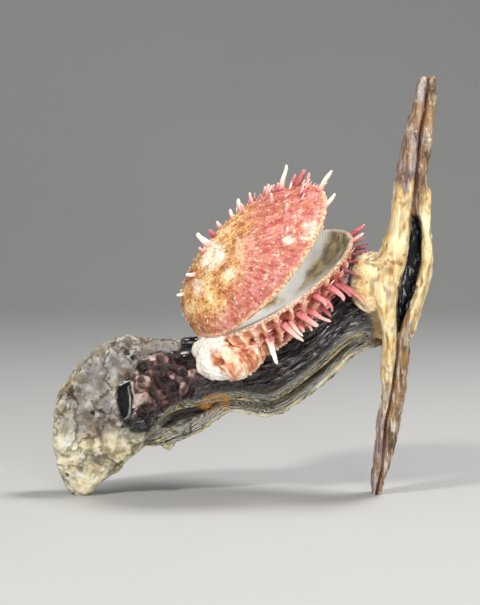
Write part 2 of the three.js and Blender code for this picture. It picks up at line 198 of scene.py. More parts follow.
def joined(parts):
    # several parts as one, with 0 where a part lacks a value that another has
    names = sorted({name for part in parts for name in part["values"]})
    starts = np.cumsum([0] + [len(part["points"]) for part in parts[:-1]])
    return {
        "points": np.concatenate([part["points"] for part in parts]),
        "faces": np.concatenate([part["faces"] + start for part, start in zip(parts, starts)]),
        "values": {
            name: np.concatenate([part["values"].get(name, np.zeros(len(part["points"]))) for part in parts])
            for name in names
        },
    }


def insideBox(points, ease=0.5):
    # points in the frame, with the outermost ones eased in to stay inside the solids' box:
    # past limit - ease, the rest r becomes ease * (1 - exp(-r / ease))
    low, high = (np.array(corner) / mm for corner in cadBox)
    over, under = points - (high - ease), (low + ease) - points
    points = np.where(over > 0, high - ease * np.exp(-np.maximum(over, 0) / ease), points)
    sides = np.array([True, True, False])
    return np.where((under > 0) & sides, low + ease * np.exp(-np.maximum(under, 0) / ease), points)


def placed(name, data):
    piece = bpy.data.objects.new(name, data)
    bpy.context.scene.collection.objects.link(piece)
    return piece


def meshFrom(name, part, kept=False):
    # the part in metres in the frame, with its values as point attributes
    mesh = bpy.data.meshes.new(name)
    points = part["points"] - centre
    points = (insideBox(points) if kept else points) * mm
    faces = part["faces"]
    mesh.vertices.add(len(points))
    mesh.vertices.foreach_set("co", points.astype(np.float32).ravel())
    mesh.loops.add(faces.size)
    mesh.loops.foreach_set("vertex_index", faces.astype(np.int32).ravel())
    mesh.polygons.add(len(faces))
    mesh.polygons.foreach_set("loop_start", np.arange(0, faces.size, 3, dtype=np.int32))
    mesh.polygons.foreach_set("use_smooth", np.ones(len(faces), bool))
    for key, value in part["values"].items():
        layer = mesh.attributes.new(key, "FLOAT", "POINT")
        layer.data.foreach_set("value", value.astype(np.float32))
    mesh.update(calc_edges=True)
    mesh.validate()
    return placed(name, mesh)


def fetched(items, key, width, kind):
    values = np.empty(len(items) * width, kind)
    items.foreach_get(key, values)
    return values.reshape(-1, width)


def readPart(mesh):
    # a mesh's points in millimetres, its triangles, its edges and its normals
    mesh.calc_loop_triangles()
    points = fetched(mesh.vertices, "co", 3, np.float32).astype(float) / mm + centre
    normals = fetched(mesh.vertex_normals, "vector", 3, np.float32).astype(float)
    faces = fetched(mesh.loop_triangles, "vertices", 3, np.int32)
    return points, faces, fetched(mesh.edges, "vertices", 2, np.int32), normals


def relaxed(values, edges, rounds, share=0.5):
    # each value moves toward the mean of its neighbours
    values = np.asarray(values, float)
    flat = values[:, None] if values.ndim == 1 else values
    count = np.bincount(edges.ravel(), minlength=len(flat))[:, None]
    a, b = edges[:, 0], edges[:, 1]
    for _ in range(rounds):
        total = np.stack([
            np.bincount(a, flat[b, k], len(flat)) + np.bincount(b, flat[a, k], len(flat))
            for k in range(flat.shape[1])
        ], 1)
        flat = flat + share * (total / np.maximum(count, 1) - flat)
    return flat[:, 0] if values.ndim == 1 else flat


def fused(name, parts, voxel, rounds):
    # overlapping parts remeshed as one skin and relaxed: its points, triangles, edges and normals
    rough = meshFrom(name, joined(parts))
    rough.data.remesh_voxel_size = voxel * mm
    rough.data.remesh_voxel_adaptivity = 0
    rough.data.use_remesh_fix_poles = False
    bpy.context.view_layer.objects.active = rough
    bpy.ops.object.voxel_remesh()
    points, _, edges, _ = readPart(rough.data)
    points = relaxed(points, edges, rounds)
    moved = ((points - centre) * mm).astype(np.float32)
    rough.data.vertices.foreach_set("co", moved.ravel())
    rough.data.update()
    points, faces, edges, normals = readPart(rough.data)
    mesh = rough.data
    bpy.data.objects.remove(rough)
    bpy.data.meshes.remove(mesh)
    print(name, "fused into", len(faces), "triangles")
    return points, faces, edges, normals


# Spiny oyster: the hinge line, and each valve raised about it
hinge = {"point": np.array([-14.4, -2, 64.6]), "line": unit(np.array([0.533, -0.846, 0.021]))}
upperValve = {
    "raised": 50.7, "side": 1, "lift": 0.6, "halfWidth": 32.9, "middle": 38.9, "halfLength": 38.5,
    "dome": 17.8, "flat": 2.3, "steep": 0.8, "hingeSwell": 0.32, "peakShift": 19.5,
    "inside": {"halfWidth": 31.2, "middle": 40.2, "halfLength": 35.7, "dome": 14.8, "peakShift": 17},
    "ribs": 58, "ribRise": 0.11, "scaleRise": 0.4, "scaleRows": 24, "growthRise": 0.24, "grain": 0.42,
    "lumps": 0.62, "around": 540, "rings": 104,
}
lowerValve = {
    "raised": 34, "side": -1, "lift": 0, "halfWidth": 32.8, "middle": 37.5, "halfLength": 37.5,
    "dome": 19.5, "flat": 2.2, "steep": 0.66, "hingeSwell": 0.16, "peakShift": 23,
    "inside": {"halfWidth": 30.6, "middle": 38.6, "halfLength": 34.7, "dome": 12.7, "peakShift": 12},
    "stains": [[(297, 298), (322, 280), (338, 266), (352, 246), (348, 234), (334, 231), (327, 250), (316, 268)],
               [(262, 310), (278, 300), (284, 304), (268, 314)]],
    "ribs": 38, "ribRise": 0.7, "scaleRise": 1.1, "scaleRows": 11, "grain": 0.55,
    "lumps": 0.6, "around": 500, "rings": 96,
}


def valveAxes(valve):
    # along the hinge line, along the growth and up out of the margin's plane
    level = unit(np.cross([0, 0, 1], hinge["line"]))
    rising = unit(np.cross(hinge["line"], level))
    turn = math.radians(valve["raised"])
    growth = math.cos(turn) * level + math.sin(turn) * rising
    up = -math.sin(turn) * level + math.cos(turn) * rising
    return hinge["line"], growth, up


def inValve(valve, x, y, h):
    # a place given in a valve's own axes, from the middle of the hinge line
    across, growth, up = valveAxes(valve)
    x, y, h = np.broadcast_arrays(x, y, h)
    return hinge["point"] + x[..., None] * across + y[..., None] * growth + h[..., None] * up


def valveSheet(valve, angle, share, inside=False):
    # the dome over an oval: x and y go out by the share along a blunted oval whose narrow end is the hinge,
    # and the height is dome * (1 - share^flat)^steep
    size = {**valve, **valve["inside"]} if inside else valve
    c, s = np.cos(angle), np.sin(angle)
    toHinge = np.maximum(0, -s)
    narrowing = 1 - 0.14 * toHinge ** 1.5
    x = size["halfWidth"] * signedPower(c, 0.88) * narrowing * share
    y = size["middle"] - size["peakShift"] * (1 - share) + size["halfLength"] * signedPower(s, 0.92) * share
    steep = size["steep"] - size["hingeSwell"] * toHinge
    dome = size["dome"] * np.maximum(0, 1 - share ** size["flat"]) ** steep
    return inValve(valve, x, y, valve["lift"] + valve["side"] * dome)


def gridNormals(points, outward):
    # normals of a sheet of rings by its two directions, turned to the given side
    down = np.gradient(points, axis=0)
    beside = (np.roll(points, -1, 1) - np.roll(points, 1, 1)) / 2
    n = unit(np.cross(beside, down))
    flip = np.sign((n * outward).sum(-1).mean())
    return n * flip


def fromMargin(valve, angle, share):
    # millimetres to the margin over the outer face, about: across to it and down to it, put together
    steep = valve["steep"] - valve["hingeSwell"] * np.maximum(0, -np.sin(angle))
    drop = valve["dome"] * np.maximum(0, 1 - share ** valve["flat"]) ** steep
    return np.hypot((1 - share) * valve["halfLength"], drop)


def shellOf(valve, relief):
    # one closed shell: the worn outer face, the rim rolled over the margin and the plain inner face
    angle = np.arange(valve["around"]) / valve["around"] * fullTurn
    share = 1 - np.linspace(1, 0, valve["rings"]) ** 1.5
    a, s = np.meshgrid(angle, share)
    outer = valveSheet(valve, a, np.maximum(s, 1e-4))
    up = valveAxes(valve)[2] * valve["side"]
    normals = gridNormals(outer, up)
    height, values = relief(valve, a, s, outer)
    outer = outer + normals * height[..., None]
    edge = outer[-1]
    lip = valveSheet(valve, angle, np.ones_like(angle), inside=True)
    outwardEdge = unit(edge - lip)
    turn = np.linspace(0, math.pi, 7)[1:-1]
    crest = 0.55 * (1 + 0.35 * np.cos(angle * rimTeeth) + 0.3 * fractal(edge, 3, 2, 5))
    rim = [edge + (lip - edge) * (1 - math.cos(t)) / 2 + (outwardEdge * 0.35 - up * 1.0)
           * (math.sin(t) * crest)[:, None] * 0.6 for t in turn]
    backShare = np.linspace(1, 0, 26)
    ai, si = np.meshgrid(angle, backShare)
    inner = valveSheet(valve, ai, np.maximum(si, 1e-4), inside=True)
    crenels = 0.22 * np.cos(ai * rimTeeth) * smooth(si, 0.93, 1)
    inner = inner + up * (crenels + 0.25 * fractal(inner, 9, 2, 3) * smooth(1 - si, 0, 0.2))[..., None]
    points = np.concatenate([outer, np.array(rim), inner])
    rows = len(points)
    made = {}
    for name, value in values.items():
        made[name] = np.concatenate([value, np.repeat(value[-1:], len(rim), 0), np.zeros_like(ai)])
    x, z = points[..., 0].ravel(), points[..., 2].ravel()
    stain = np.zeros(x.size)
    for corners in valve.get("stains", ()):
        stain = np.maximum(stain, insideOutline(x, z, inPicture(corners), 1.6, 2.2 * fractal(
            points, 4, 3, 17).ravel()))
    made["stain"] = stain.reshape(points.shape[:2])
    made["inner"] = np.concatenate([np.zeros_like(a), np.tile(np.linspace(0.1, 0.9, len(rim))[:, None],
                                                             (1, len(angle))), np.ones_like(ai)])
    made["share"] = np.concatenate([s, np.ones((len(rim), len(angle))), si])
    made["turn"] = np.tile(angle, (rows, 1))
    return gridPart(points, **made)


# A horn in each row: degrees round the margin, share of the way out, root to tip in X, Y, Z, radius at the root
# and tone, from 0 deep red over 0.5 pink to 1 white
upperHorns = [
    (104, 0.92, 2.8, 2, 10.6, 1.3, 1.0), (97, 0.95, 2, 2, 5.5, 1, 0.5), (94, 0.97, 3, 2, 7, 1.5, 0.45),
    (85, 0.98, 1, 1, 5.5, 1.2, 0.6), (67, 0.99, 5, 1, 8.5, 1.3, 0.98), (43, 0.99, 4.6, -1, 5.4, 1.3, 0.96),
    (114, 0.87, 1.2, 2, 4.8, 1.1, 0.7), (120, 0.78, -1.2, 2, 4.4, 1, 0.75), (131, 0.74, -1, 2, 5.2, 1.2, 0.92),
    (136, 0.68, -1.2, 1.5, 3.6, 1, 0.95), (146, 0.6, -1.6, 1, 3, 1, 0.8), (142, 0.42, -2.4, 0, 3.4, 1.3, 0.35),
    (146, 0.32, -5.4, -1, 5.4, 1.5, 0.97), (155, 0.26, -2.6, -1, 2.4, 1.1, 0.6),
    (226, 0.22, -3, -1, 0.4, 1.1, 0.95), (244, 0.62, -2.8, -1, -0.2, 1, 0.95), (108, 0.6, -1.5, -1, 3.5, 1, 0.7),
    (80, 0.7, -0.5, -2, 3.5, 1, 0.8), (50, 0.75, 0, -3, 2.6, 1, 0.8), (20, 0.8, 0, -3.2, 2, 1, 0.8),
    (128, 0.98, 0, 5, 6, 1.2, 0.7), (141, 0.98, -1, 7, 4.5, 1.3, 0.6), (154, 0.98, -2, 7, 3.5, 1.2, 0.8),
    (167, 0.98, -3, 7, 2.5, 1.3, 0.55), (180, 0.98, -4, 6.5, 1.5, 1.2, 0.7), (194, 0.98, -4.5, 5.5, 0.5, 1.2, 0.8),
    (208, 0.97, -5, 4, 0, 1.1, 0.9),
]
lowerHorns = [
    (320, 0.9, 3.6, -3, -10, 1.6, 0.97), (332, 0.95, 8.8, -4, -6.4, 1.3, 0.75), (343, 0.96, 8.6, -4.5, -5, 1.4, 0.62),
    (351, 0.93, 9.2, -4, -5, 1.3, 0.6), (357, 0.98, 4.6, -3.5, -4.4, 1.3, 0.55), (8, 0.96, 6, -4, -5.4, 1.7, 0.58),
    (18, 0.92, 11, -5, -7.6, 1.8, 0.5), (27, 0.95, 10, -4, -1, 1.3, 0.3), (35, 0.97, 8.4, -2, -2.4, 1.3, 0.2),
    (43, 0.97, 9.5, -1, 1.4, 1.1, 0.25), (50, 0.98, 6, 0, 0.4, 1.2, 0.12), (58, 0.99, 4.5, 0, 3.6, 1.4, 0.78),
    (70, 0.99, 6.5, 2, 5, 1.8, 0.42), (106, 0.99, 2, 3, 4, 1.1, 0.7), (345, 0.84, 2.5, -3.5, -3, 1.3, 0.6),
    (4, 0.84, 4.5, -3, -4.5, 1.3, 0.4), (308, 0.9, 1.5, -4, -3, 1.2, 0.85), (84, 0.97, 6, 5, 1.5, 1.3, 0.5),
    (96, 0.97, 4, 8, 0, 1.4, 0.6), (118, 0.97, 1, 8, 0.5, 1.3, 0.5), (131, 0.97, -0.5, 8.5, -1, 1.5, 0.65),
    (144, 0.97, -2, 8, -2, 1.4, 0.5), (157, 0.97, -3.5, 8, -2, 1.5, 0.6), (170, 0.97, -5, 7, -3, 1.3, 0.7),
    (184, 0.97, -6, 5.5, -2.5, 1.4, 0.6), (198, 0.97, -6, 4, -2, 1.2, 0.8), (23, 0.98, 8, -3.5, -3.5, 1.1, 0.15),
    (31, 0.98, 8.6, -2.5, -1.4, 1, 0.2), (39, 0.99, 8, -1.5, 0, 0.9, 0.12), (46, 0.99, 7, -0.5, 2, 0.9, 0.15),
    (54, 0.99, 5.4, 0.5, 2.4, 0.9, 0.3), (338, 0.93, 5, -3, -5.5, 1, 0.85), (348, 0.9, 4, -3, -6, 1.1, 0.7),
    (1, 0.94, 5, -4, -6, 1, 0.45), (13, 0.96, 7, -4.5, -6.5, 1.1, 0.35),
]


def horns(valve, rows, stations=15, around=12, flare=0.75, width=1.05, thick=0.9, taper=0.62, curve=0.17,
          buried=1.5, seed=1):
    # each horn is a curve root - bend - tip with a fluted section: its radius starts flared, tapers along it
    # and closes in a round tip
    table = np.asarray(rows, float)
    draw = np.random.default_rng(seed)
    angle, share = np.radians(table[:, 0]), table[:, 1]
    root = valveSheet(valve, angle, share)
    ahead = valveSheet(valve, angle + 0.02, share)
    toTip, radius, tone = table[:, 2:5], table[:, 5], table[:, 6]
    tip = root + toTip
    inward = unit(inValve(valve, 0, valve["middle"], 0) - root)
    length = np.linalg.norm(toTip, axis=1, keepdims=True)
    bend = (root + tip) / 2 - inward * length * curve * draw.uniform(0.1, 1.9, (len(table), 1))
    bend = bend + length * draw.normal(0, 0.06, (len(table), 3))
    start = root + inward * buried
    t = np.concatenate([np.linspace(0, 0.9, stations - 5), [0.94, 0.965, 0.985, 0.997, 1]])
    u = t[None, :, None]
    middle = (1 - u) ** 2 * start[:, None] + 2 * u * (1 - u) * bend[:, None] + u ** 2 * tip[:, None]
    at = np.stack(np.broadcast_arrays(3 * t[None, :], 0.7 * table[:, :1], float(seed)), -1)
    wander = np.stack([fractal(at + 9 * k, 1.0, 2, seed) for k in range(3)], -1)
    middle = middle + wander * (0.07 * length[:, None]) * u
    forward = unit(np.gradient(middle, axis=1))
    side = unit(ahead - root)[:, None, :]
    side = unit(side - (side * forward).sum(-1, keepdims=True) * forward)
    other = np.cross(forward, side)
    cap = np.sqrt(np.maximum(0, 1 - (np.maximum(0, t - 0.88) / 0.12) ** 2))
    size = radius[:, None] * (1.06 - taper * t + flare * np.exp(-t / 0.09)) * cap
    size = size * (1 + 0.2 * wander[..., 0])
    size[:, 0] = 0
    phi = np.arange(around) / around * fullTurn
    flute = 1 + 0.12 * np.cos(3 * phi)
    ring = (np.cos(phi) * width * flute)[:, None] * side[:, :, None, :] \
        + (np.sin(phi) * thick * flute)[:, None] * other[:, :, None, :]
    points = middle[:, :, None, :] + size[:, :, None, None] * ring
    return joined([gridPart(points[k], horn=np.ones(len(t))[:, None], tip=t[:, None], tone=tone[k], share=share[k],
                            turn=angle[k]) for k in range(len(table))])


def spinelets(valve, count, seed, lowest, lengths, radii, lean, tones, angles=(0, 360)):
    # small scales in rows on the ribs, each leaning out along the growth
    draw = np.random.default_rng(seed)
    angle = draw.uniform(*angles, count)
    rib = np.round(angle / 360 * valve["ribs"]) / valve["ribs"] * 360
    share = np.sqrt(draw.uniform(lowest ** 2, 0.985, count))
    at = valveSheet(valve, np.radians(rib), share)
    out = valveSheet(valve, np.radians(rib), np.minimum(share + 0.02, 1.02))
    beside = valveSheet(valve, np.radians(rib) + 0.01, share)
    growth = unit(out - at)
    normal = unit(np.cross(beside - at, growth))
    normal *= np.sign((normal * valveAxes(valve)[2] * valve["side"]).sum(-1, keepdims=True))
    length = draw.uniform(*lengths, count) * (0.55 + 0.45 * share)
    reach = unit(growth + normal * draw.uniform(lean * 0.7, lean * 1.3, (count, 1))) * length[:, None]
    radius = draw.uniform(*radii, count)
    tone = draw.uniform(*tones, count)
    return np.column_stack([rib, share, reach, radius, tone])


# Chalky patches on the upper valve
barePatches = [
    [(203, 250), (212, 243), (222, 247), (224, 258), (216, 267), (206, 270), (201, 262)],
    [(225, 269), (231, 266), (234, 273), (230, 278), (225, 276)],
    [(304, 226), (313, 222), (320, 227), (318, 237), (309, 241), (303, 235)],
    [(192, 284), (200, 281), (203, 288), (197, 294), (191, 291)],
    [(283, 238), (289, 236), (291, 241), (285, 244)],
]


def upperRelief(valve, a, s, p):
    # fine ribs with rows of scales, growth steps, grain and a few pits
    wander = fractal(p, 14, 2, 2)
    ribs = np.cos(valve["ribs"] * a + 1.3 * wander)
    far = smooth(s, 0.16, 0.5) * (1 - 0.9 * smooth(-np.sin(a), 0.35, 0.85))
    rows = saw(s * valve["scaleRows"] + 0.9 * fractal(p, 5, 2, 4))
    scales = rows ** 3 * np.maximum(0, ribs) * far
    growth = saw(s * 13 + 0.8 * wander + 0.25 * fractal(p, 3, 2, 6)) - 0.5
    grain = fractal(p, 1.5, 3, 8)
    lumps = fractal(p, 6, 3, 9)
    nearHinge = 1 - smooth(s, 0.25, 0.7)
    height = valve["ribRise"] * ribs * far + valve["scaleRise"] * scales + valve["growthRise"] * growth
    height += valve["grain"] * grain + valve["lumps"] * lumps * (0.5 + nearHinge)
    wrinkles = ridged(np.stack([s * 62, 9 * a, 0 * a], -1) + 1.4 * fractal(p, 5, 2, 21)[..., None], 2.2, 3, 22)
    height += 0.5 * wrinkles * nearHinge * smooth(s, 0.02, 0.12)
    rim = 1 - smooth(fromMargin(valve, a, s) + 0.6 * fractal(p, 3, 2, 13), 0.9, 2.0)
    beads = ridged(p, 1.3, 2, 12)
    height = height * (1 - 0.6 * rim) + rim * (0.35 + 0.3 * beads)
    pits = np.zeros_like(s)
    for place, wide in (((-2.5, 44), 0.9), ((6, 30), 0.7), ((-10, 26), 0.8), ((-16, 20), 0.7), ((3, 18), 0.6),
                        ((-7, 14), 0.7), ((12, 40), 0.5)):
        at = inValve(valve, place[0], place[1], 0)
        across, grow, _ = valveAxes(valve)
        d = np.hypot(((p - at) @ across), ((p - at) @ grow))
        pits = np.maximum(pits, np.exp(-(d / wide) ** 2))
    height = height - 1.1 * pits
    x, z = p[..., 0], p[..., 2]
    middle = np.interp(z, [68, 77, 95, 114, 126], [-17, -7, 0.5, 4, -1])
    sandy = smooth(middle - x + 8 * fractal(p, 9, 4, 14) + 3 * fractal(p, 2.4, 2, 15), -9, 8)
    ragged = 2.6 * fractal(p, 4, 4, 16).ravel()
    bare = np.zeros(x.size)
    for corners in barePatches:
        bare = np.maximum(bare, insideOutline(x.ravel(), z.ravel(), inPicture(corners), 1.5, ragged))
    # the pits are marked here to be painted near black as shade
    return height, {"relief": np.clip(height * 0.6, -1, 1), "pit": pits, "rim": rim, "sandy": sandy,
                    "bare": bare.reshape(x.shape)}


# The bare white beak and hinge block, seen from the front
whiteOutline = [(196, 328), (231, 335), (217, 346), (209, 356), (212, 365), (226, 371), (231, 382), (186, 384),
                (184, 350)]


def whiteShare(p):
    # 1 on the bare white beak and hinge block, by an outline seen from the front, and a band seen from behind
    x, y, z = p[..., 0].ravel(), p[..., 1].ravel(), p[..., 2].ravel()
    ragged = 2.6 * fractal(p, 4, 4, 54).ravel()
    front = insideOutline(x, z, inPicture(whiteOutline), 2.2, ragged)
    local = p - hinge["point"]
    growth = (local @ valveAxes(lowerValve)[1]).ravel()
    behind = 1 - smooth(growth + 2 * ragged, 0, 4)
    share = smooth(y, 2, 6)
    return (front * (1 - share) + behind * share).reshape(p.shape[:-1])


def footPolar(points):
    # distance in millimetres and direction from behind the lower valve's beak
    across, growth, _ = valveAxes(lowerValve)
    local = points - hinge["point"]
    x, y = local @ across - 1, local @ growth + 7
    return np.hypot(x, y), np.arctan2(y, x)


def lowerRelief(valve, a, s, p):
    # strong ribs crossed by leafy frills with hollows between them, and a granular band along the margin
    wander = fractal(p, 11, 2, 31)
    ribs = 1 - 2 * np.abs(np.sin((valve["ribs"] * a + 2.6 * wander) / 2))
    far = smooth(s, 0.3, 0.62)
    rows = saw(s * valve["scaleRows"] + 0.55 * fractal(p, 6, 2, 33) + 0.12 * ribs)
    frill = rows ** 2.5 * (0.55 + 0.45 * ribs) * far
    hollow = (0.5 + 0.5 * np.cos(rows * fullTurn)) * np.maximum(0, -ribs)
    grain = fractal(p, 1.7, 3, 35)
    lumps = fractal(p, 5.5, 3, 36)
    height = valve["ribRise"] * ribs * (0.4 + 0.6 * far) + valve["scaleRise"] * frill + valve["grain"] * grain
    height += valve["lumps"] * lumps - 1.5 * hollow * far
    rim = 1 - smooth(fromMargin(valve, a, s) + 0.5 * fractal(p, 3, 2, 38), 1.0, 1.9)
    beads = ridged(p, 1.2, 2, 37)
    height = height * (1 - rim) + rim * (0.2 + 0.32 * beads)
    chalk = whiteShare(p) * smooth(s, 0.3, 0.5)
    reach, turn = footPolar(p)
    old = 0.33 * (1 - smooth(reach + 9 * fractal(p, 7, 3, 39), 22, 38)) * (1 - rim)
    # the hollows between the frills are marked here to be painted dark as shade
    return height, {"relief": np.clip(height * 0.5, -1, 1), "pit": hollow * far * (1 - rim),
                    "rim": rim * (1 - chalk), "cement": np.maximum(chalk, old), "along": reach, "aside": 11 * turn}


def makeUpper():
    shell = shellOf(upperValve, upperRelief)
    big = horns(upperValve, upperHorns, seed=3)
    fringe = horns(upperValve, spinelets(upperValve, 46, 21, 0.84, (2.4, 5.4), (0.42, 0.72), 1.1, (0.4, 1.0),
                                         (50, 150)), stations=9, around=8, flare=0.5, buried=0.5, curve=0.12)
    small = horns(upperValve, spinelets(upperValve, 170, 7, 0.3, (1.2, 3.0), (0.2, 0.34), 0.6, (0.3, 0.95)),
                  stations=8, around=6, flare=0.5, buried=0.4, curve=0.05)
    return joined([shell, big, fringe, small])


def makeLower():
    shell = shellOf(lowerValve, lowerRelief)
    big = horns(lowerValve, lowerHorns, width=1.02, thick=0.64, taper=0.68, curve=0.22, seed=2)
    frills = spinelets(lowerValve, 110, 11, 0.6, (2.2, 4.6), (0.75, 1.2), 0.8, (0.3, 0.75))
    leafy = horns(lowerValve, frills, stations=9, around=10, flare=0.2, width=1.6, thick=0.32, taper=0.3,
                  buried=0.6, curve=0.14)
    small = horns(lowerValve, spinelets(lowerValve, 110, 12, 0.6, (1.6, 3.6), (0.32, 0.5), 0.9, (0.4, 0.95)),
                  stations=8, around=6, flare=0.5, buried=0.5, curve=0.1)
    return joined([shell, big, leafy, small])


# The lower valve's white beak, the block under its hinge and its cemented foot, in the valve's own axes
cement = {
    "knobs": [((1, -4, 9.5), (8.5, 6.5, 7)), ((0, -0.5, 7), (14, 6, 7)), ((7, 5, 12), (12, 13, 7.5))],
    "voxel": 0.45, "lumps": 1.0, "grain": 0.5,
}


def ballPart(place, half, axes, rings=40, around=60):
    # place + half * (sin u cos v, sin u sin v, cos u) in the given axes
    lat = np.linspace(0, math.pi, rings)[:, None]
    lon = (np.arange(around) / around * fullTurn)[None, :]
    x = half[0] * np.sin(lat) * np.cos(lon)
    y = half[1] * np.sin(lat) * np.sin(lon)
    z = half[2] * np.cos(lat) * np.ones_like(lon)
    points = place + x[..., None] * axes[0] + y[..., None] * axes[1] + z[..., None] * axes[2]
    return gridPart(points)


def makeCement():
    # balls fused into one, pushed out by noise, by ridges drawn down the foot and by growth steps
    parts = [ballPart(inValve(lowerValve, x, y, lowerValve["side"] * h), half, valveAxes(lowerValve))
             for (x, y, h), half in cement["knobs"]]
    points, faces, _, normals = fused("cement", parts, cement["voxel"], 12)
    reach, turn = footPolar(points)
    white = whiteShare(points)
    at = np.stack([reach / 4.5, 10 * turn, 0 * turn], -1) + 0.9 * fractal(points, 4, 2, 56)[:, None]
    drawn = ridged(at, 1.5, 3, 58)
    steps = saw(reach / 3.4 + 0.9 * fractal(points, 4, 2, 55))
    lumps = fractal(points, 5, 3, 51)
    height = cement["lumps"] * lumps + cement["grain"] * fractal(points, 1.6, 3, 53) - 0.3
    height += (1 - white) * (1.3 * drawn + 0.4 * steps ** 2 - 0.5)
    height += white * (0.9 * np.abs(fractal(points, 3.4, 3, 57)) - 0.1)
    points = points + normals * height[:, None]
    values = {"cement": 0.33 + 0.67 * white, "relief": np.clip(height, -1, 1), "share": np.full(len(points), 0.8),
              "along": reach, "aside": 11 * turn}
    return {"points": points, "faces": faces, "values": values}


# Hammer oyster: its bars as height, left side, right side, middle in Y and half depth in Y
frontBar = [
    (-3, 52.6, 53.6, 9.8, 4.5), (4, 52.6, 54.4, 9.2, 5), (11, 52.6, 56.1, 8.4, 6), (21, 53.6, 56.6, 7.2, 7),
    (31, 54.6, 57.3, 5.8, 8), (40, 56.6, 58.8, 4.4, 9), (49, 55.6, 60.2, 3, 10), (60, 56.4, 61.4, 2, 11),
    (69, 55.4, 61.6, 2, 11.5), (78, 52.8, 62.2, 2, 12), (87, 51.6, 62.9, 2, 12), (96, 53.2, 65, 2, 11.5),
    (103, 56.2, 66.3, 2, 11), (109, 59, 67, 2.5, 10), (117, 60, 67.4, 2.5, 9.5), (125, 60.6, 68.4, 3, 8.5),
    (133, 62, 69.3, 4, 8), (141, 63.5, 70.1, 4.5, 7.5), (148, 64.6, 70.8, 5, 7), (155, 67.4, 72.4, 5.5, 6),
    (162, 69.2, 73.2, 6, 5.5), (169, 71, 73.8, 6.5, 4.5),
]
backBar = [
    (-3, 54.2, 55.4, 9.8, 4.5), (4, 55, 56.8, 9.2, 5), (11, 56.7, 59.4, 8.4, 6), (21, 57.2, 61.2, 7.2, 7),
    (31, 57.9, 63.4, 5.8, 8), (40, 59.4, 64.8, 4.4, 9), (49, 60.8, 65.8, 3, 10), (60, 62, 66.8, 2, 11),
    (69, 62.8, 67.4, 2, 11.5), (78, 65.6, 70.4, 1, 11.5), (87, 69.2, 73.6, 0, 11), (96, 71.6, 75, 0, 10.5),
    (103, 71.4, 74.6, 1, 10.5), (109, 70.6, 73.4, 2, 10), (117, 68.5, 72.6, 2.5, 9.5), (125, 69, 72.8, 3, 8.5),
    (133, 69.9, 73.6, 4, 8), (141, 70.7, 74.8, 4.5, 7.5), (148, 71.4, 75.6, 5, 7), (155, 73, 76.2, 5.5, 6),
    (162, 73.8, 77.1, 6, 5.5), (169, 74.4, 77, 6.5, 4.5),
]
barLobe = [
    (66, 67, 68.6, 0, 3), (70, 66.4, 69.4, 0, 5), (75, 66.2, 70.8, 0, 8), (80, 66.6, 72.2, 0, 9.5),
    (85, 68.2, 73.8, 0, 10), (90, 70.2, 74.8, 0, 10), (97, 71, 75, 0, 10), (105, 70.8, 75, 1, 9.5),
    (114, 71, 74.8, 2, 8.5), (121, 71.6, 75.2, 2.5, 6.5), (125, 72.6, 74.6, 2.5, 3.5),
]
# Dark web behind the gap between the bars, in the same form: a filler painted near black as the shade in the gap
barWeb = [
    (72, 62, 65.5, 7, 2.5), (80, 61.5, 67.5, 7, 3.5), (89, 61.5, 71, 7, 3.5), (98, 63.5, 73, 7, 3.5),
    (106, 65, 72, 7, 3.5), (113, 65.5, 70.5, 7, 2.5),
]
# Blade, from inside the bar to the end it stands on: middle of the seam, direction across the blade, half width,
# front thickness, back thickness and how far the front valve's lower edge stops short
blade = [
    (66.4, 5, 82, 0.11, 0, 0.99, 18, 4, 4, 0), (66.4, 11, 81, 0.11, 0, 0.99, 19, 5, 5, 1),
    (60, 18, 78.2, 0.12, 0.12, 0.98, 17.8, 6, 4.5, 2), (49.3, 19.8, 73.6, 0.25, 0.4, 0.87, 19, 6.5, 4.5, 5.5),
    (34.5, 19.6, 61, 0.25, 0.5, 0.82, 21.2, 7, 5, 7.5), (15.3, 17.3, 50.8, 0.15, 0.53, 0.83, 21.6, 7.5, 5, 6),
    (-4, 15.2, 48.2, 0.05, 0.5, 0.86, 16.2, 7.5, 5, 4.5), (-15.6, 13.4, 44.3, 0.08, 0.42, 0.9, 19.4, 8, 5.5, 10),
    (-28.5, 12, 41.8, 0, 0.33, 0.94, 21, 8.5, 6, 12), (-38, 11, 41.6, -0.12, 0.28, 0.95, 22.6, 9, 6.5, 7),
    (-46, 10.3, 41.4, -0.3, 0.2, 0.93, 23, 9.5, 7, 2), (-54.6, 10, 35, -0.57, 0.12, 0.82, 21.8, 9.5, 7.5, 0),
    (-61.4, 10, 26.4, -0.73, 0.06, 0.68, 19.4, 9.5, 8, 0), (-64.4, 10, 17.4, -0.83, 0.03, 0.57, 15.4, 9, 8, 0),
    (-65.4, 10, 8.6, -0.96, 0, 0.27, 10.2, 8, 7.5, 0), (-65.6, 10, 3.2, -1, 0, 0, 6.8, 7.2, 7, 0),
    (-66, 10, -1.4, -1, 0, 0, 2.6, 6.4, 6.4, 0),
]
hammer = {
    "seam": 0.9, "edge": 0.55, "bladeRound": 0.03, "tipRound": 0.02, "barCorners": 3, "stripRise": 1.6,
    "flare": ((52.6, 3, 86.5), (10, 10, 12.5)), "ridge": ((56, -4, 95), (7.5, 5, 2.2)),
    "bump": ((-31, 11, 21), (3.4, 3, 2.8)),
    "voxel": 0.58, "relax": 5, "wrinkles": 1.0, "lumps": 1.5, "fibres": 0.55,
}


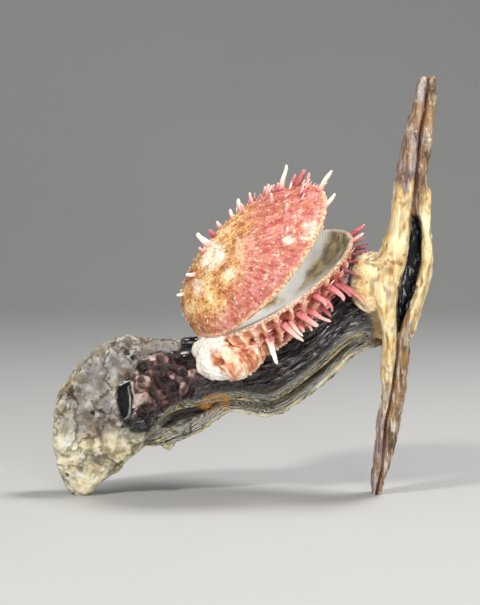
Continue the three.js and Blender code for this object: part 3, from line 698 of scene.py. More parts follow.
def barPart(rows, around=44, stations=240):
    # rounded sections up the bar: half width * cos^(2/3) to the side and half depth * sin^(2/3) out
    v = np.linspace(0, 1, stations)
    row = along(rows, v)
    size = endSize(v, hammer["tipRound"])
    size[[0, -1]] = 0
    angle = np.arange(around) / around * fullTurn
    c = signedPower(np.cos(angle), 2 / hammer["barCorners"])
    s = signedPower(np.sin(angle), 2 / hammer["barCorners"])
    x = ((row[:, 1] + row[:, 2]) / 2)[:, None] + (size * (row[:, 2] - row[:, 1]) / 2)[:, None] * c
    y = row[:, 3][:, None] + (size * row[:, 4])[:, None] * s
    z = np.broadcast_to(row[:, :1], x.shape)
    return gridPart(np.stack([x, y, z], -1))


def seamPlace(z):
    # the line between the two bars: halfway from the front bar's right side to the back bar's left side
    front, back = np.asarray(frontBar), np.asarray(backBar)
    right = np.interp(z, front[:, 0], front[:, 2])
    left = np.interp(z, back[:, 0], back[:, 1])
    return (left + right) / 2, left - right


def seamRows(low, high):
    # a strip inside the seam between two heights, where the bars meet, as rows of a bar
    z = np.linspace(low, high, 30)
    middle, gap = seamPlace(z)
    out, depth = (np.interp(z, np.asarray(frontBar)[:, 0], np.asarray(frontBar)[:, k]) for k in (3, 4))
    half = np.clip(gap / 2, 0.3, 1.2) + 0.6
    return np.column_stack([z, middle - half, middle + half, out, 0.86 * depth])


def bladeFrame(v):
    # at share v of the blade: the seam, the way on, across and out of the front, and the sizes
    row = along(blade, v)
    forward = unit(along(blade, np.minimum(1, v + 0.01))[:, :3] - along(blade, np.maximum(0, v - 0.01))[:, :3])
    across = unit(row[:, 3:6])
    front = unit(np.cross(across, forward))
    return row[:, :3], forward, across, front, row[:, 6:]


def bladePart(isFront, around=90, stations=300):
    # a section flat at the seam and crowned outside, carried along the blade
    v = np.linspace(0, 1, stations)
    seam, _, across, front, sizes = bladeFrame(v)
    size = endSize(v, hammer["bladeRound"])
    size[[0, -1]] = 0
    angle = np.arange(around) / around * fullTurn
    w = signedPower(np.cos(angle), 0.8)[None, :]
    rise = np.maximum(0, np.sin(angle))[None, :] ** hammer["edge"]
    stop = sizes[:, 3:4] if isFront else np.zeros((stations, 1))
    thick = sizes[:, 1:2] if isFront else sizes[:, 2:3]
    over = stop / 2 + w * (sizes[:, :1] - stop / 2)
    bare = (sizes[:, :1] + over) / np.maximum(sizes[:, 3:4], 1)
    strip = smooth(sizes[:, 3:4], 3, 6) * np.maximum(0, 1 - (2.4 * bare - 1) ** 2)
    swell = 0 if isFront else hammer["stripRise"] * strip
    base = hammer["seam"] / 2 - np.where(rise > 0, 0, swell)
    out = (1 if isFront else -1) * (base + size[:, None] * rise * thick)
    points = seam[:, None] + (size[:, None] * over)[..., None] * across[:, None] + out[..., None] * front[:, None]
    return gridPart(points)


def bladePlace(points):
    # for each point, from the nearest place on the seam: share along the blade, share across it, then in
    # millimetres how far it is out of the seam's front, along and across, the half width and the front's stop
    v = np.linspace(0, 1, 260)
    seam, _, across, front, sizes = bladeFrame(v)
    length = np.concatenate([[0], np.cumsum(np.linalg.norm(np.diff(seam, axis=0), axis=1))])
    nearest = np.empty(len(points), int)
    chunk = 20000  # points at a time, to spare memory
    for part in range(0, len(points), chunk):
        some = points[part:part + chunk]
        gap = some[:, None] - seam[None]
        depth = (gap * front[None]).sum(-1)
        over = (gap * across[None]).sum(-1)
        ahead = (gap ** 2).sum(-1) - depth ** 2 - over ** 2
        far = np.maximum(0, np.abs(over) - sizes[None, :, 0]) ** 2 + 0.3 * np.maximum(0, np.abs(depth) - 10) ** 2
        nearest[part:part + chunk] = (ahead + far).argmin(1)
    stations, exact = np.arange(len(v)), nearest.astype(float)
    step = np.maximum(np.gradient(length), 0.1)
    for _ in range(6):
        seam, forward, across, front, _ = bladeFrame(exact / stations[-1])
        square = np.cross(front, across)
        ahead = ((points - seam) * square).sum(-1) / np.maximum((forward * square).sum(-1), 0.3)
        ahead = ahead / np.interp(exact, stations, step)
        exact = np.clip(exact + np.clip(0.7 * ahead, -1.5, 1.5), 0, stations[-1])
    run = np.interp(exact, stations, length)
    v = exact / stations[-1]
    seam, _, across, front, sizes = bladeFrame(v)
    gap = points - seam
    over, depth = (gap * across).sum(-1), (gap * front).sum(-1)
    return v, over / sizes[:, 0], depth, run, over, sizes[:, 0], sizes[:, 3]


def barShare(points):
    # 1 on the hinge bar, 0 on the blade
    z = points[:, 2]
    rows = np.asarray(frontBar)
    left = np.interp(z, rows[:, 0], rows[:, 1])
    return smooth(points[:, 0], left - 4.5, left - 0.5)


crustOutline = inPicture([
    (30, 300), (150, 300), (182, 341), (176, 352), (150, 354), (138, 362), (131, 374), (119, 383), (117, 398),
    (120, 420), (132, 431), (150, 434), (170, 428), (190, 424), (190, 520), (30, 520),
])
hollowOutline = inPicture([
    (134, 374), (143, 360), (160, 356), (184, 358), (214, 350), (206, 368), (196, 386), (190, 404), (176, 412),
    (160, 415), (148, 424), (136, 418), (131, 400), (130, 384),
])
windowOutline = inPicture([(116, 388), (128, 384), (132, 398), (131, 414), (122, 417), (117, 405)])
holeEdgeOutline = inPicture([(127.2, 386), (128.4, 386), (129.8, 400), (128.9, 417), (127.6, 417), (128.6, 400)])
goldOutline = inPicture([(196, 408), (206, 399), (224, 394), (230, 400), (226, 411), (214, 414)])
pitPlaces = [((127, 353), 2.1), ((133, 357), 1.6), ((101, 411), 1.5), ((66, 391), 2.2), ((69, 396), 1.6),
             ((92, 414), 1.2), ((77, 371), 1.4), ((124, 427), 1.5), ((64, 478), 1.4)]


def hammerSurface(name, parts, isFront):
    # one valve of the hammer oyster: its parts fused, then pushed out along their normals by a height that
    # adds wrinkles on the blade, folds and lumps on the crust, knobs in the hollow, layers on the lower
    # edge and flakes on the bar, less the dark hole and the pits
    points, faces, edges, normals = fused(name, parts, hammer["voxel"], hammer["relax"])
    v, w, depth, run, over, half, stop = bladePlace(points)
    bar = barShare(points)
    x, z = points[:, 0], points[:, 2]
    facing = smooth(-normals[:, 1], -0.1, 0.45) if isFront else np.zeros(len(points))
    wander = fractal(points, 7, 3, 61)
    ragged = 1.8 * wander + 0.7 * fractal(points, 2, 2, 62)
    crustFront = insideOutline(x, z, crustOutline, 0.5, ragged)
    crustBack = smooth(v + 0.05 * wander, 0.5, 0.56)
    crust = np.where(depth > 0, crustFront, crustBack) * (1 - bar)
    hollow = insideOutline(x, z, hollowOutline, 0.8, ragged) * (depth > 0) * facing * (1 - bar)
    # the deep dark hole: carved in here, and painted near black as shade in the material
    shadedHole = insideOutline(x, z, windowOutline, 0.9, 0.6 * wander) * (depth > 0) * facing
    pits = np.zeros(len(points))
    bent = 1.5 * fractal(points, 1.9, 3, 74)
    for at, wide in pitPlaces:
        place = inPicture([at])[0]
        d = np.hypot(x - place[0], z - place[1]) + bent
        pits = np.maximum(pits, (1 - smooth(d, 0.45 * wide, 0.95 * wide)) * facing)
    scattered = smooth(fractal(points, 2.2, 3, 75), 0.5, 0.66) * (1 - bar) * crust
    pits = np.maximum(pits, 0.5 * scattered)
    streakAt = np.stack([run / 3.6, over, depth * 0.8], -1) + 0.9 * fractal(points, 6, 2, 79)[:, None]
    streaks = ridged(streakAt, 2.1, 3, 63)
    fine = ridged(np.stack([run / 3.2, over, depth], -1), 0.8, 2, 64)
    lumps = fractal(points, 6.5, 3, 65)
    broad = fractal(points, 15, 2, 66)
    bentPoints = points + 2.4 * np.stack([fractal(points, 6, 2, seed) for seed in (81, 82, 83)], -1)
    knobs = 0.6 * ridged(bentPoints, 4, 4, 67) + 1.3 * fractal(points, 8, 2, 84)
    body = (1 - bar) * (1 - crust) * (1 - hollow) * (1 - shadedHole)
    height = body * hammer["wrinkles"] * (0.9 * streaks + 0.4 * fine - 0.5)
    folds = 2 * np.abs(fractal(bentPoints, 12, 5, 76)) + 0.4 * np.abs(fractal(bentPoints, 3.4, 3, 85))
    height += (1 - bar) * crust * (hammer["lumps"] * (1.1 * broad + 0.9 * lumps + 1.3 * folds - 0.9)
                                   + 0.5 * fractal(points, 2.2, 4, 68)
                                   + 0.5 * ridged(bentPoints, 4.5, 3, 87) - 0.5)
    height += hollow * (1.7 * knobs + 0.9 * fractal(points, 2.4, 3, 69) - 1.3)
    height -= 3.6 * shadedHole + 1.3 * pits * (1 - bar)
    edge = half * (1 + w)
    teeth = (1 - smooth(edge, 0.5, 3.5)) * (1 - bar) * smooth(v, 0.2, 0.26)
    height += teeth * (1.6 * fractal(np.stack([run, 0 * run, 0.4 * depth], -1), 5, 4, 77) - 0.3)
    if isFront:
        edge = np.maximum(0, over + half - stop) + np.maximum(0, depth - 0.5)
    layer = saw(edge / 1.15 + 0.7 * fractal(np.stack([run / 6, over, depth * 0.5], -1), 2, 2, 70))
    lower = (1 - smooth(edge + wander, 5, 8)) * (1 - bar) * (1 - 0.75 * smooth(v, 0.62, 0.7))
    height += lower * (0.5 * (layer - 0.5) - 0.1)
    fibre = ridged(points * [1, 1, 0.12], 1.5, 3, 71)
    flake = smooth(fractal(points * [1, 0.6, 0.22], 4.2, 3, 72), -0.03, 0.05)
    waxy = bar * smooth(z, 56, 66) * (1 - smooth(z, 118, 126))
    height += bar * hammer["fibres"] * (0.35 * (1 - 0.7 * waxy) * fibre + 1.2 * flake
                                        + 1.5 * fractal(points * [1, 1, 0.7], 3.2, 3, 78) - 0.8)
    seamAt, _ = seamPlace(z)
    aside = np.abs(x - seamAt + 0.35 * fractal(points, 5, 2, 80))
    height = np.where(bar > 0.5, height * smooth(aside, 0.4, 2.2), height)
    height = np.clip(height, -4.5, 2.2)
    guard = smooth(np.abs(depth) - 0.5 * hammer["seam"], 0.3, 1.6) + bar
    height *= np.clip(guard, 0, 1)
    broken = smooth(fractal(points, 20, 2, 86), -0.25, 0.2)
    points = points + normals * height[:, None]
    carved = height - relaxed(height, edges, 24, 0.9)
    points[:, 2] = np.clip(points[:, 2], 0, topHeight)
    nearFlare = np.exp(-(((points - [56, 2, 86]) / [12, 12, 19]) ** 2).sum(-1))
    long = 26 * fractal(points * [1, 1, 0.08], 1.6, 2, 73)
    if isFront:
        creamBar = bar * smooth(z + 3 * wander + long, 26, 62) * (1 - smooth(z + 3 * wander + 0.3 * long, 121, 127))
        cream = np.maximum(creamBar, smooth(nearFlare + 0.06 * wander, 0.22, 0.4))
    else:
        lobeLeft = np.interp(z, np.asarray(barLobe)[:, 0], np.asarray(barLobe)[:, 1])
        cream = bar * smooth(x, lobeLeft - 0.7, lobeLeft + 0.3)
        cream = cream * smooth(z + 4 * wander + 0.5 * long, 62, 68)
        cream = cream * (1 - smooth(z + 4 * wander + 0.3 * long, 121, 127))
    # painted shade: near black where the gap between the bars is seen into, and on the gap's inner sides
    deepIn = smooth(points[:, 1], 1.5, 3.5) * (1 - smooth(points[:, 1], 11.5, 12.5))
    web = bar * deepIn * smooth(seamPlace(z)[1], 1.5, 3) * (1 - smooth(aside, 2.4, 3.4))
    gapSideShade = smooth(normals[:, 0] if isFront else -normals[:, 0], 0.25, 0.6) * bar * smooth(z + 2 * wander, 66, 72)
    gapSideShade = gapSideShade * (1 - smooth(z + 2 * wander, 110, 116)) * smooth(points[:, 1], -7, -4)
    gapSideShade = gapSideShade * (1 - smooth(aside, 3, 4.5))
    foot = (1 - smooth(z + 5 * wander, 20, 34)) * (1 - bar)
    rimEnd = smooth(np.abs(w) + 0.3 * wander, 0.6, 1.0) * (1 - bar) * (0.25 + 0.75 * smooth(v, 0.66, 0.76))
    values = {
        "bar": bar, "crust": crust, "hollow": hollow * (1 - crust * 0.6), "shadedHole": shadedHole, "pit": pits,
        "cream": cream, "foot": foot, "edge": lower, "layer": edge, "run": run, "over": over, "out": depth,
        "relief": np.clip(0.3 * height + (0.9 - 0.4 * crust) * carved, -1, 1), "rimEnd": rimEnd,
        "seam": bar * (1 - smooth(aside, 0.3, 0.8)),
        "frontEdge": (1 - smooth(edge + 0.6 * wander, 0.9, 1.6)) * (1 - bar) * float(isFront)
        * (1 - smooth(v, 0.6, 0.68)), "broken": broken,
        "holeEdgeLine": insideOutline(x, z, holeEdgeOutline, 0.25, 0.2 * wander) * facing,
        "web": np.maximum(web, gapSideShade),
        "gold": insideOutline(x, z, goldOutline, 1.4, ragged) * (depth > -6),
    }
    return {"points": points, "faces": faces, "values": values}


# Materials: small tools to place and join nodes
def addNode(tree, kind, inputs=None, **settings):
    made = tree.nodes.new(kind)
    for key, value in settings.items():
        setattr(made, key, value)
    for key, value in (inputs or {}).items():
        socket = made.inputs[key]
        if isinstance(value, bpy.types.NodeSocket):
            tree.links.new(value, socket)
        else:
            socket.default_value = value
    return made


def maths(tree, kind, a, b=0.0, clamp=False):
    return addNode(tree, "ShaderNodeMath", {0: a, 1: b}, operation=kind, use_clamp=clamp).outputs[0]


def times(tree, a, b):
    return maths(tree, "MULTIPLY", a, b)


def plus(tree, a, b, clamp=False):
    return maths(tree, "ADD", a, b, clamp)


def minus(tree, a, b):
    return maths(tree, "SUBTRACT", a, b)


def larger(tree, a, b):
    return maths(tree, "MAXIMUM", a, b)


def mixed(tree, share, a, b):
    return addNode(tree, "ShaderNodeMix", {0: share, 2: a, 3: b}, data_type="FLOAT").outputs[0]


def blended(tree, share, a, b):
    a, b = ((*tint, 1) if isinstance(tint, tuple) and len(tint) == 3 else tint for tint in (a, b))
    return addNode(tree, "ShaderNodeMix", {0: share, 6: a, 7: b}, data_type="RGBA").outputs[2]


def tinted(tree, colour, mask, strength, tint):
    # the colour with a share of a tint over it where the mask is 1
    return blended(tree, times(tree, mask, strength), colour, tint)


def ramp(tree, value, stops):
    # colours at places from 0 to 1
    made = addNode(tree, "ShaderNodeValToRGB", {0: value})
    steps = made.color_ramp.elements
    while len(steps) < len(stops):
        steps.new(0.5)
    for step, (at, colour) in zip(steps, stops):
        step.position = at
        step.color = (*colour, 1)
    return made.outputs[0]


def ranged(tree, value, low, high, toLow=0.0, toHigh=1.0):
    return addNode(tree, "ShaderNodeMapRange", {0: value, 1: low, 2: high, 3: toLow, 4: toHigh}).outputs[0]


def newGroup(name, values, results, placed=True):
    # a node group: a Vector where it is placed in space, then numbers with their values, and number outputs
    tree = bpy.data.node_groups.new(name, "ShaderNodeTree")
    if placed:
        tree.interface.new_socket("Vector", in_out="INPUT", socket_type="NodeSocketVector")
    for title, value in values.items():
        tree.interface.new_socket(title, in_out="INPUT", socket_type="NodeSocketFloat").default_value = value
    for title in results:
        tree.interface.new_socket(title, in_out="OUTPUT", socket_type="NodeSocketFloat")
    return tree, tree.nodes.new("NodeGroupInput").outputs, tree.nodes.new("NodeGroupOutput").inputs


def cutAtLevel(tree, value, given):
    # 0 below the level and 1 above it, over a soft edge
    low, high = minus(tree, given["Level"], given["Soft"]), plus(tree, given["Level"], given["Soft"])
    return ranged(tree, value, low, high)


def makePatches():
    # noise of a size in millimetres, cut at a level over a soft edge
    tree, given, out = newGroup("patches", {"Size": 5.0, "Level": 0.5, "Soft": 0.08, "Detail": 4.0}, ["Mask"])
    noise = addNode(tree, "ShaderNodeTexNoise", {"Vector": given["Vector"],
                                                 "Scale": maths(tree, "DIVIDE", perMetre, given["Size"]),
                                                 "Detail": given["Detail"], "Roughness": 0.6})
    tree.links.new(cutAtLevel(tree, noise.outputs[0], given), out[0])
    return tree


def makeDots():
    # round dots in a share of the cells of a given size
    tree, given, out = newGroup("dots", {"Size": 2.0, "Radius": 0.3, "Share": 0.3}, ["Mask"])
    scale = maths(tree, "DIVIDE", perMetre, given["Size"])
    cells = addNode(tree, "ShaderNodeTexVoronoi", {"Vector": given["Vector"], "Scale": scale})
    apart = addNode(tree, "ShaderNodeSeparateColor", {0: cells.outputs["Color"]})
    chosen = maths(tree, "LESS_THAN", apart.outputs[0], given["Share"])
    inner = times(tree, given["Radius"], 0.6)
    near = ranged(tree, cells.outputs["Distance"], inner, given["Radius"], 1.0, 0.0)
    tree.links.new(times(tree, near, chosen), out[0])
    return tree


def makeStreaks():
    # noise drawn out along one direction, given by distances along, across and out in millimetres
    tree, given, out = newGroup("streaks", {"Along": 0.0, "Across": 0.0, "Out": 0.0, "Stretch": 6.0,
                                            "Size": 1.0, "Level": 0.5, "Soft": 0.1}, ["Mask", "Value"],
                                placed=False)
    drawn = maths(tree, "DIVIDE", given["Along"], given["Stretch"])
    place = addNode(tree, "ShaderNodeCombineXYZ", {0: drawn, 1: given["Across"], 2: given["Out"]})
    noise = addNode(tree, "ShaderNodeTexNoise", {"Vector": place.outputs[0],
                                                 "Scale": maths(tree, "DIVIDE", 1.0, given["Size"]),
                                                 "Detail": 5.0, "Roughness": 0.65, "Distortion": 0.4})
    tree.links.new(cutAtLevel(tree, noise.outputs[0], given), out[0])
    tree.links.new(noise.outputs[0], out[1])
    return tree


def makeGrain():
    # fine relief: noise less the crumbs of cells of the same size
    tree, given, out = newGroup("grain", {"Size": 0.8, "Crumbs": 0.5}, ["Height"])
    at = {"Vector": given["Vector"], "Scale": maths(tree, "DIVIDE", perMetre, given["Size"])}
    coarse = addNode(tree, "ShaderNodeTexNoise", {**at, "Detail": 6.0, "Roughness": 0.7})
    cells = addNode(tree, "ShaderNodeTexVoronoi", at)
    crumbs = times(tree, cells.outputs["Distance"], given["Crumbs"])
    tree.links.new(minus(tree, coarse.outputs[0], crumbs), out[0])
    return tree


def makeReliefShading():
    # painted light on crests and painted shade in hollows: factors from a relief value of -1 to 1
    tree, given, out = newGroup("reliefShading", {"Relief": 0.0, "Crest": 0.4, "Hollow": -0.3}, ["Crests", "Hollows"],
                                placed=False)
    ends = plus(tree, given["Crest"], 0.4), minus(tree, given["Hollow"], 0.45)
    for k, start in enumerate(("Crest", "Hollow")):
        tree.links.new(ranged(tree, given["Relief"], given[start], ends[k]), out[k])
    return tree


groups = {"patches": makePatches(), "dots": makeDots(), "streaks": makeStreaks(), "grain": makeGrain(),
          "reliefShading": makeReliefShading()}


def useGroup(tree, name, output=0, **inputs):
    return addNode(tree, "ShaderNodeGroup", inputs, node_tree=groups[name]).outputs[output]


def patchy(tree, place, size, level, soft, detail=4.0):
    return useGroup(tree, "patches", Vector=place, Size=size, Level=level, Soft=soft, Detail=detail)


def valueOf(tree, name):
    return addNode(tree, "ShaderNodeAttribute", attribute_name=name).outputs["Fac"]


def newMaterial(name):
    made = bpy.data.materials.new(name)
    made.use_nodes = True
    tree = made.node_tree
    tree.nodes.clear()
    shader = tree.nodes.new("ShaderNodeBsdfPrincipled")
    out = tree.nodes.new("ShaderNodeOutputMaterial")
    tree.links.new(shader.outputs[0], out.inputs[0])
    place = addNode(tree, "ShaderNodeTexCoord").outputs["Object"]
    return made, tree, shader, place


def bumped(tree, shader, height, strength, distance, under=None):
    given = {"Height": height, "Strength": strength, "Distance": distance * mm}
    if under is not None:
        given["Normal"] = under
    bump = addNode(tree, "ShaderNodeBump", given)
    tree.links.new(bump.outputs[0], shader.inputs["Normal"])
    return bump.outputs[0]


def surfaced(tree, shader, colour, rough, shine):
    tree.links.new(colour, shader.inputs["Base Color"])
    tree.links.new(rough, shader.inputs["Roughness"])
    shader.inputs["Specular IOR Level"].default_value = shine


def porcelain(tree, place):
    # the inside: grey-white with olive stains and a dark brown edge in places
    stains = patchy(tree, place, 16.0, 0.56, 0.1, 3.0)
    brown = patchy(tree, place, 9.0, 0.6, 0.05, 5.0)
    share = valueOf(tree, "share")
    towardRim = ranged(tree, share, 0.55, 0.95)
    base = blended(tree, patchy(tree, place, 7.0, 0.5, 0.3), (0.92, 0.91, 0.88), (0.98, 0.97, 0.94))
    base = tinted(tree, base, stains, 0.25, (0.66, 0.6, 0.36))
    stained = valueOf(tree, "stain")
    olive = ramp(tree, patchy(tree, place, 4.5, 0.5, 0.3, 5.0),
                 [(0.0, (0.05, 0.018, 0.005)), (0.4, (0.22, 0.12, 0.02)), (0.6, (0.55, 0.42, 0.12)),
                  (1.0, (0.8, 0.7, 0.36))])
    base = tinted(tree, base, stained, 0.85, olive)
    base = tinted(tree, base, times(tree, brown, towardRim), 0.5, (0.12, 0.06, 0.02))
    return base


def hornColour(tree, place):
    # deep red, pink or white by the horn's tone, paler toward its tip
    tone = valueOf(tree, "tone")
    tip = valueOf(tree, "tip")
    lift = times(tree, ranged(tree, tip, 0.35, 1.0), 0.22)
    shade = minus(tree, plus(tree, tone, lift), 0.12)
    rootShare = ranged(tree, tip, 0.0, 0.4)
    shade = times(tree, shade, plus(tree, 0.55, times(tree, rootShare, 0.45)))
    colour = ramp(tree, shade, [(0.0, (0.16, 0.008, 0.015)), (0.24, (0.36, 0.035, 0.045)),
                                (0.47, (0.62, 0.16, 0.16)), (0.72, (0.87, 0.5, 0.42)),
                                (0.92, (0.94, 0.85, 0.72))])
    rings = patchy(tree, place, 1.3, 0.55, 0.15)
    return blended(tree, times(tree, rings, 0.16), colour, (0.95, 0.82, 0.74))


def upperMaterial():
    made, tree, shader, place = newMaterial("rosyShell")
    relief, sandy, share, turn = (valueOf(tree, name) for name in ("relief", "sandy", "share", "turn"))
    inner, rim, pit, horn, chalky = (valueOf(tree, name) for name in ("inner", "rim", "pit", "horn", "bare"))
    rays = useGroup(tree, "streaks", "Value", Along=times(tree, share, 38.0), Across=times(tree, turn, 26.0),
                    Stretch=4.0, Size=1.8)
    cloud = patchy(tree, place, 6.0, 0.5, 0.28, 8.0)
    crumbs = patchy(tree, place, 1.3, 0.5, 0.28, 5.0)
    tint = plus(tree, times(tree, cloud, 0.4), times(tree, ranged(tree, rays, 0.3, 0.7), 0.24))
    tint = plus(tree, tint, times(tree, crumbs, 0.36))
    rose = ramp(tree, tint, [(0.16, (0.2, 0.02, 0.012)), (0.38, (0.4, 0.065, 0.045)), (0.5, (0.54, 0.15, 0.12)),
                             (0.62, (0.68, 0.3, 0.26)), (0.84, (0.86, 0.62, 0.5))])
    sandTint = plus(tree, times(tree, patchy(tree, place, 8.0, 0.5, 0.22, 7.0), 0.6), times(tree, crumbs, 0.4))
    sand = ramp(tree, sandTint, [(0.14, (0.15, 0.035, 0.008)), (0.34, (0.43, 0.15, 0.035)),
                                 (0.5, (0.66, 0.36, 0.12)), (0.66, (0.82, 0.58, 0.26)),
                                 (0.86, (0.94, 0.84, 0.56))])
    tanned = patchy(tree, place, 4.0, 0.55, 0.08, 7.0)
    rose = tinted(tree, rose, tanned, 0.5, (0.52, 0.21, 0.09))
    colour = blended(tree, sandy, rose, sand)
    specks = useGroup(tree, "dots", Vector=place, Size=1.6, Radius=0.42, Share=0.3)
    colour = tinted(tree, colour, specks, 0.75, (0.34, 0.09, 0.03))
    pale = useGroup(tree, "dots", Vector=place, Size=1.7, Radius=0.36, Share=0.16)
    colour = tinted(tree, colour, pale, 0.6, (0.9, 0.72, 0.52))
    # painted highlight: paler on the crests of the relief
    crestLight = useGroup(tree, "reliefShading", Relief=relief, Crest=0.22, Hollow=-0.1)
    colour = tinted(tree, colour, crestLight, 0.42, (0.9, 0.68, 0.52))
    # painted shade: dark red-brown in the hollows of the relief
    hollowShade = useGroup(tree, "reliefShading", "Hollows", Relief=relief, Crest=0.22, Hollow=-0.05)
    colour = tinted(tree, colour, hollowShade, 0.75, (0.2, 0.035, 0.015))
    flecks = patchy(tree, place, 3.2, 0.63, 0.04, 6.0)
    colour = tinted(tree, colour, flecks, 0.6, (0.88, 0.72, 0.52))
    chalk = times(tree, chalky, patchy(tree, place, 3.0, 0.42, 0.2, 7.0))
    colour = blended(tree, chalk, colour, (0.96, 0.89, 0.7))
    rust = patchy(tree, place, 2.6, 0.62, 0.04, 6.0)
    colour = tinted(tree, colour, rust, 0.7, (0.42, 0.14, 0.02))
    beads = patchy(tree, place, 1.1, 0.5, 0.08)
    margin = blended(tree, beads, (0.5, 0.17, 0.08), (0.86, 0.6, 0.36))
    colour = blended(tree, rim, colour, margin)
    # painted shade: near black in the pits
    colour = blended(tree, pit, colour, (0.05, 0.015, 0.01))
    colour = blended(tree, horn, colour, hornColour(tree, place))
    colour = blended(tree, inner, colour, porcelain(tree, place))
    rough = plus(tree, 0.52, times(tree, specks, 0.2))
    rough = mixed(tree, inner, rough, 0.28)
    surfaced(tree, shader, colour, rough, 0.45)
    bumped(tree, shader, useGroup(tree, "grain", Vector=place, Size=0.7, Crumbs=0.5), 0.5, 0.35)
    return made


def lowerMaterial():
    made, tree, shader, place = newMaterial("blushShell")
    relief = valueOf(tree, "relief")
    inner, rim, pit, horn, foot = (valueOf(tree, name) for name in ("inner", "rim", "pit", "horn", "cement"))
    blush = ramp(tree, patchy(tree, place, 5.0, 0.5, 0.3, 6.0),
                 [(0.0, (0.28, 0.03, 0.015)), (0.35, (0.5, 0.12, 0.07)), (0.65, (0.73, 0.31, 0.2)),
                  (1.0, (0.88, 0.58, 0.4))])
    # painted highlight: paler on the crests of the ribs and frills
    crestLight = useGroup(tree, "reliefShading", Relief=relief, Crest=0.2, Hollow=-0.1)
    colour = blended(tree, times(tree, crestLight, 0.6), blush, (0.92, 0.72, 0.54))
    # painted shade: dark red in the hollows of the relief
    hollowShade = useGroup(tree, "reliefShading", "Hollows", Relief=relief, Crest=0.12, Hollow=0.06)
    colour = tinted(tree, colour, hollowShade, 0.9, (0.24, 0.03, 0.012))
    # painted shade: dark red-brown in the hollows between the frills
    colour = blended(tree, pit, colour, (0.12, 0.014, 0.005))
    beads = patchy(tree, place, 1.0, 0.5, 0.1)
    margin = blended(tree, beads, (0.38, 0.15, 0.08), (0.84, 0.62, 0.42))
    colour = blended(tree, rim, colour, margin)
    chalk = blended(tree, patchy(tree, place, 4.0, 0.55, 0.2), (0.93, 0.9, 0.84), (0.88, 0.76, 0.6))
    drawn = useGroup(tree, "streaks", "Value", Along=valueOf(tree, "along"), Across=valueOf(tree, "aside"),
                     Stretch=6.0, Size=1.6)
    # the foot's colour follows the drawn streaks and, for a share, the relief: darker where the relief is low
    folds = plus(tree, times(tree, ranged(tree, relief, -0.7, 0.8), 0.4),
                 times(tree, ranged(tree, drawn, 0.32, 0.68), 0.6))
    stained = ramp(tree, folds, [(0.2, (0.3, 0.06, 0.02)), (0.4, (0.56, 0.2, 0.1)), (0.54, (0.78, 0.42, 0.26)),
                                 (0.66, (0.88, 0.64, 0.42)), (0.86, (0.93, 0.84, 0.68))])
    white = ranged(tree, foot, 0.4, 0.85)
    ground = blended(tree, white, stained, chalk)
    colour = blended(tree, ranged(tree, foot, 0.05, 0.3), colour, ground)
    # more painted shade in the hollows between the frills
    colour = tinted(tree, colour, pit, 0.85, (0.2, 0.03, 0.01))
    colour = blended(tree, horn, colour, hornColour(tree, place))
    colour = blended(tree, inner, colour, porcelain(tree, place))
    rough = mixed(tree, inner, plus(tree, 0.48, times(tree, beads, 0.1)), 0.25)
    surfaced(tree, shader, colour, rough, 0.45)
    bumped(tree, shader, useGroup(tree, "grain", Vector=place, Size=0.8, Crumbs=0.4), 0.45, 0.35)
    return made


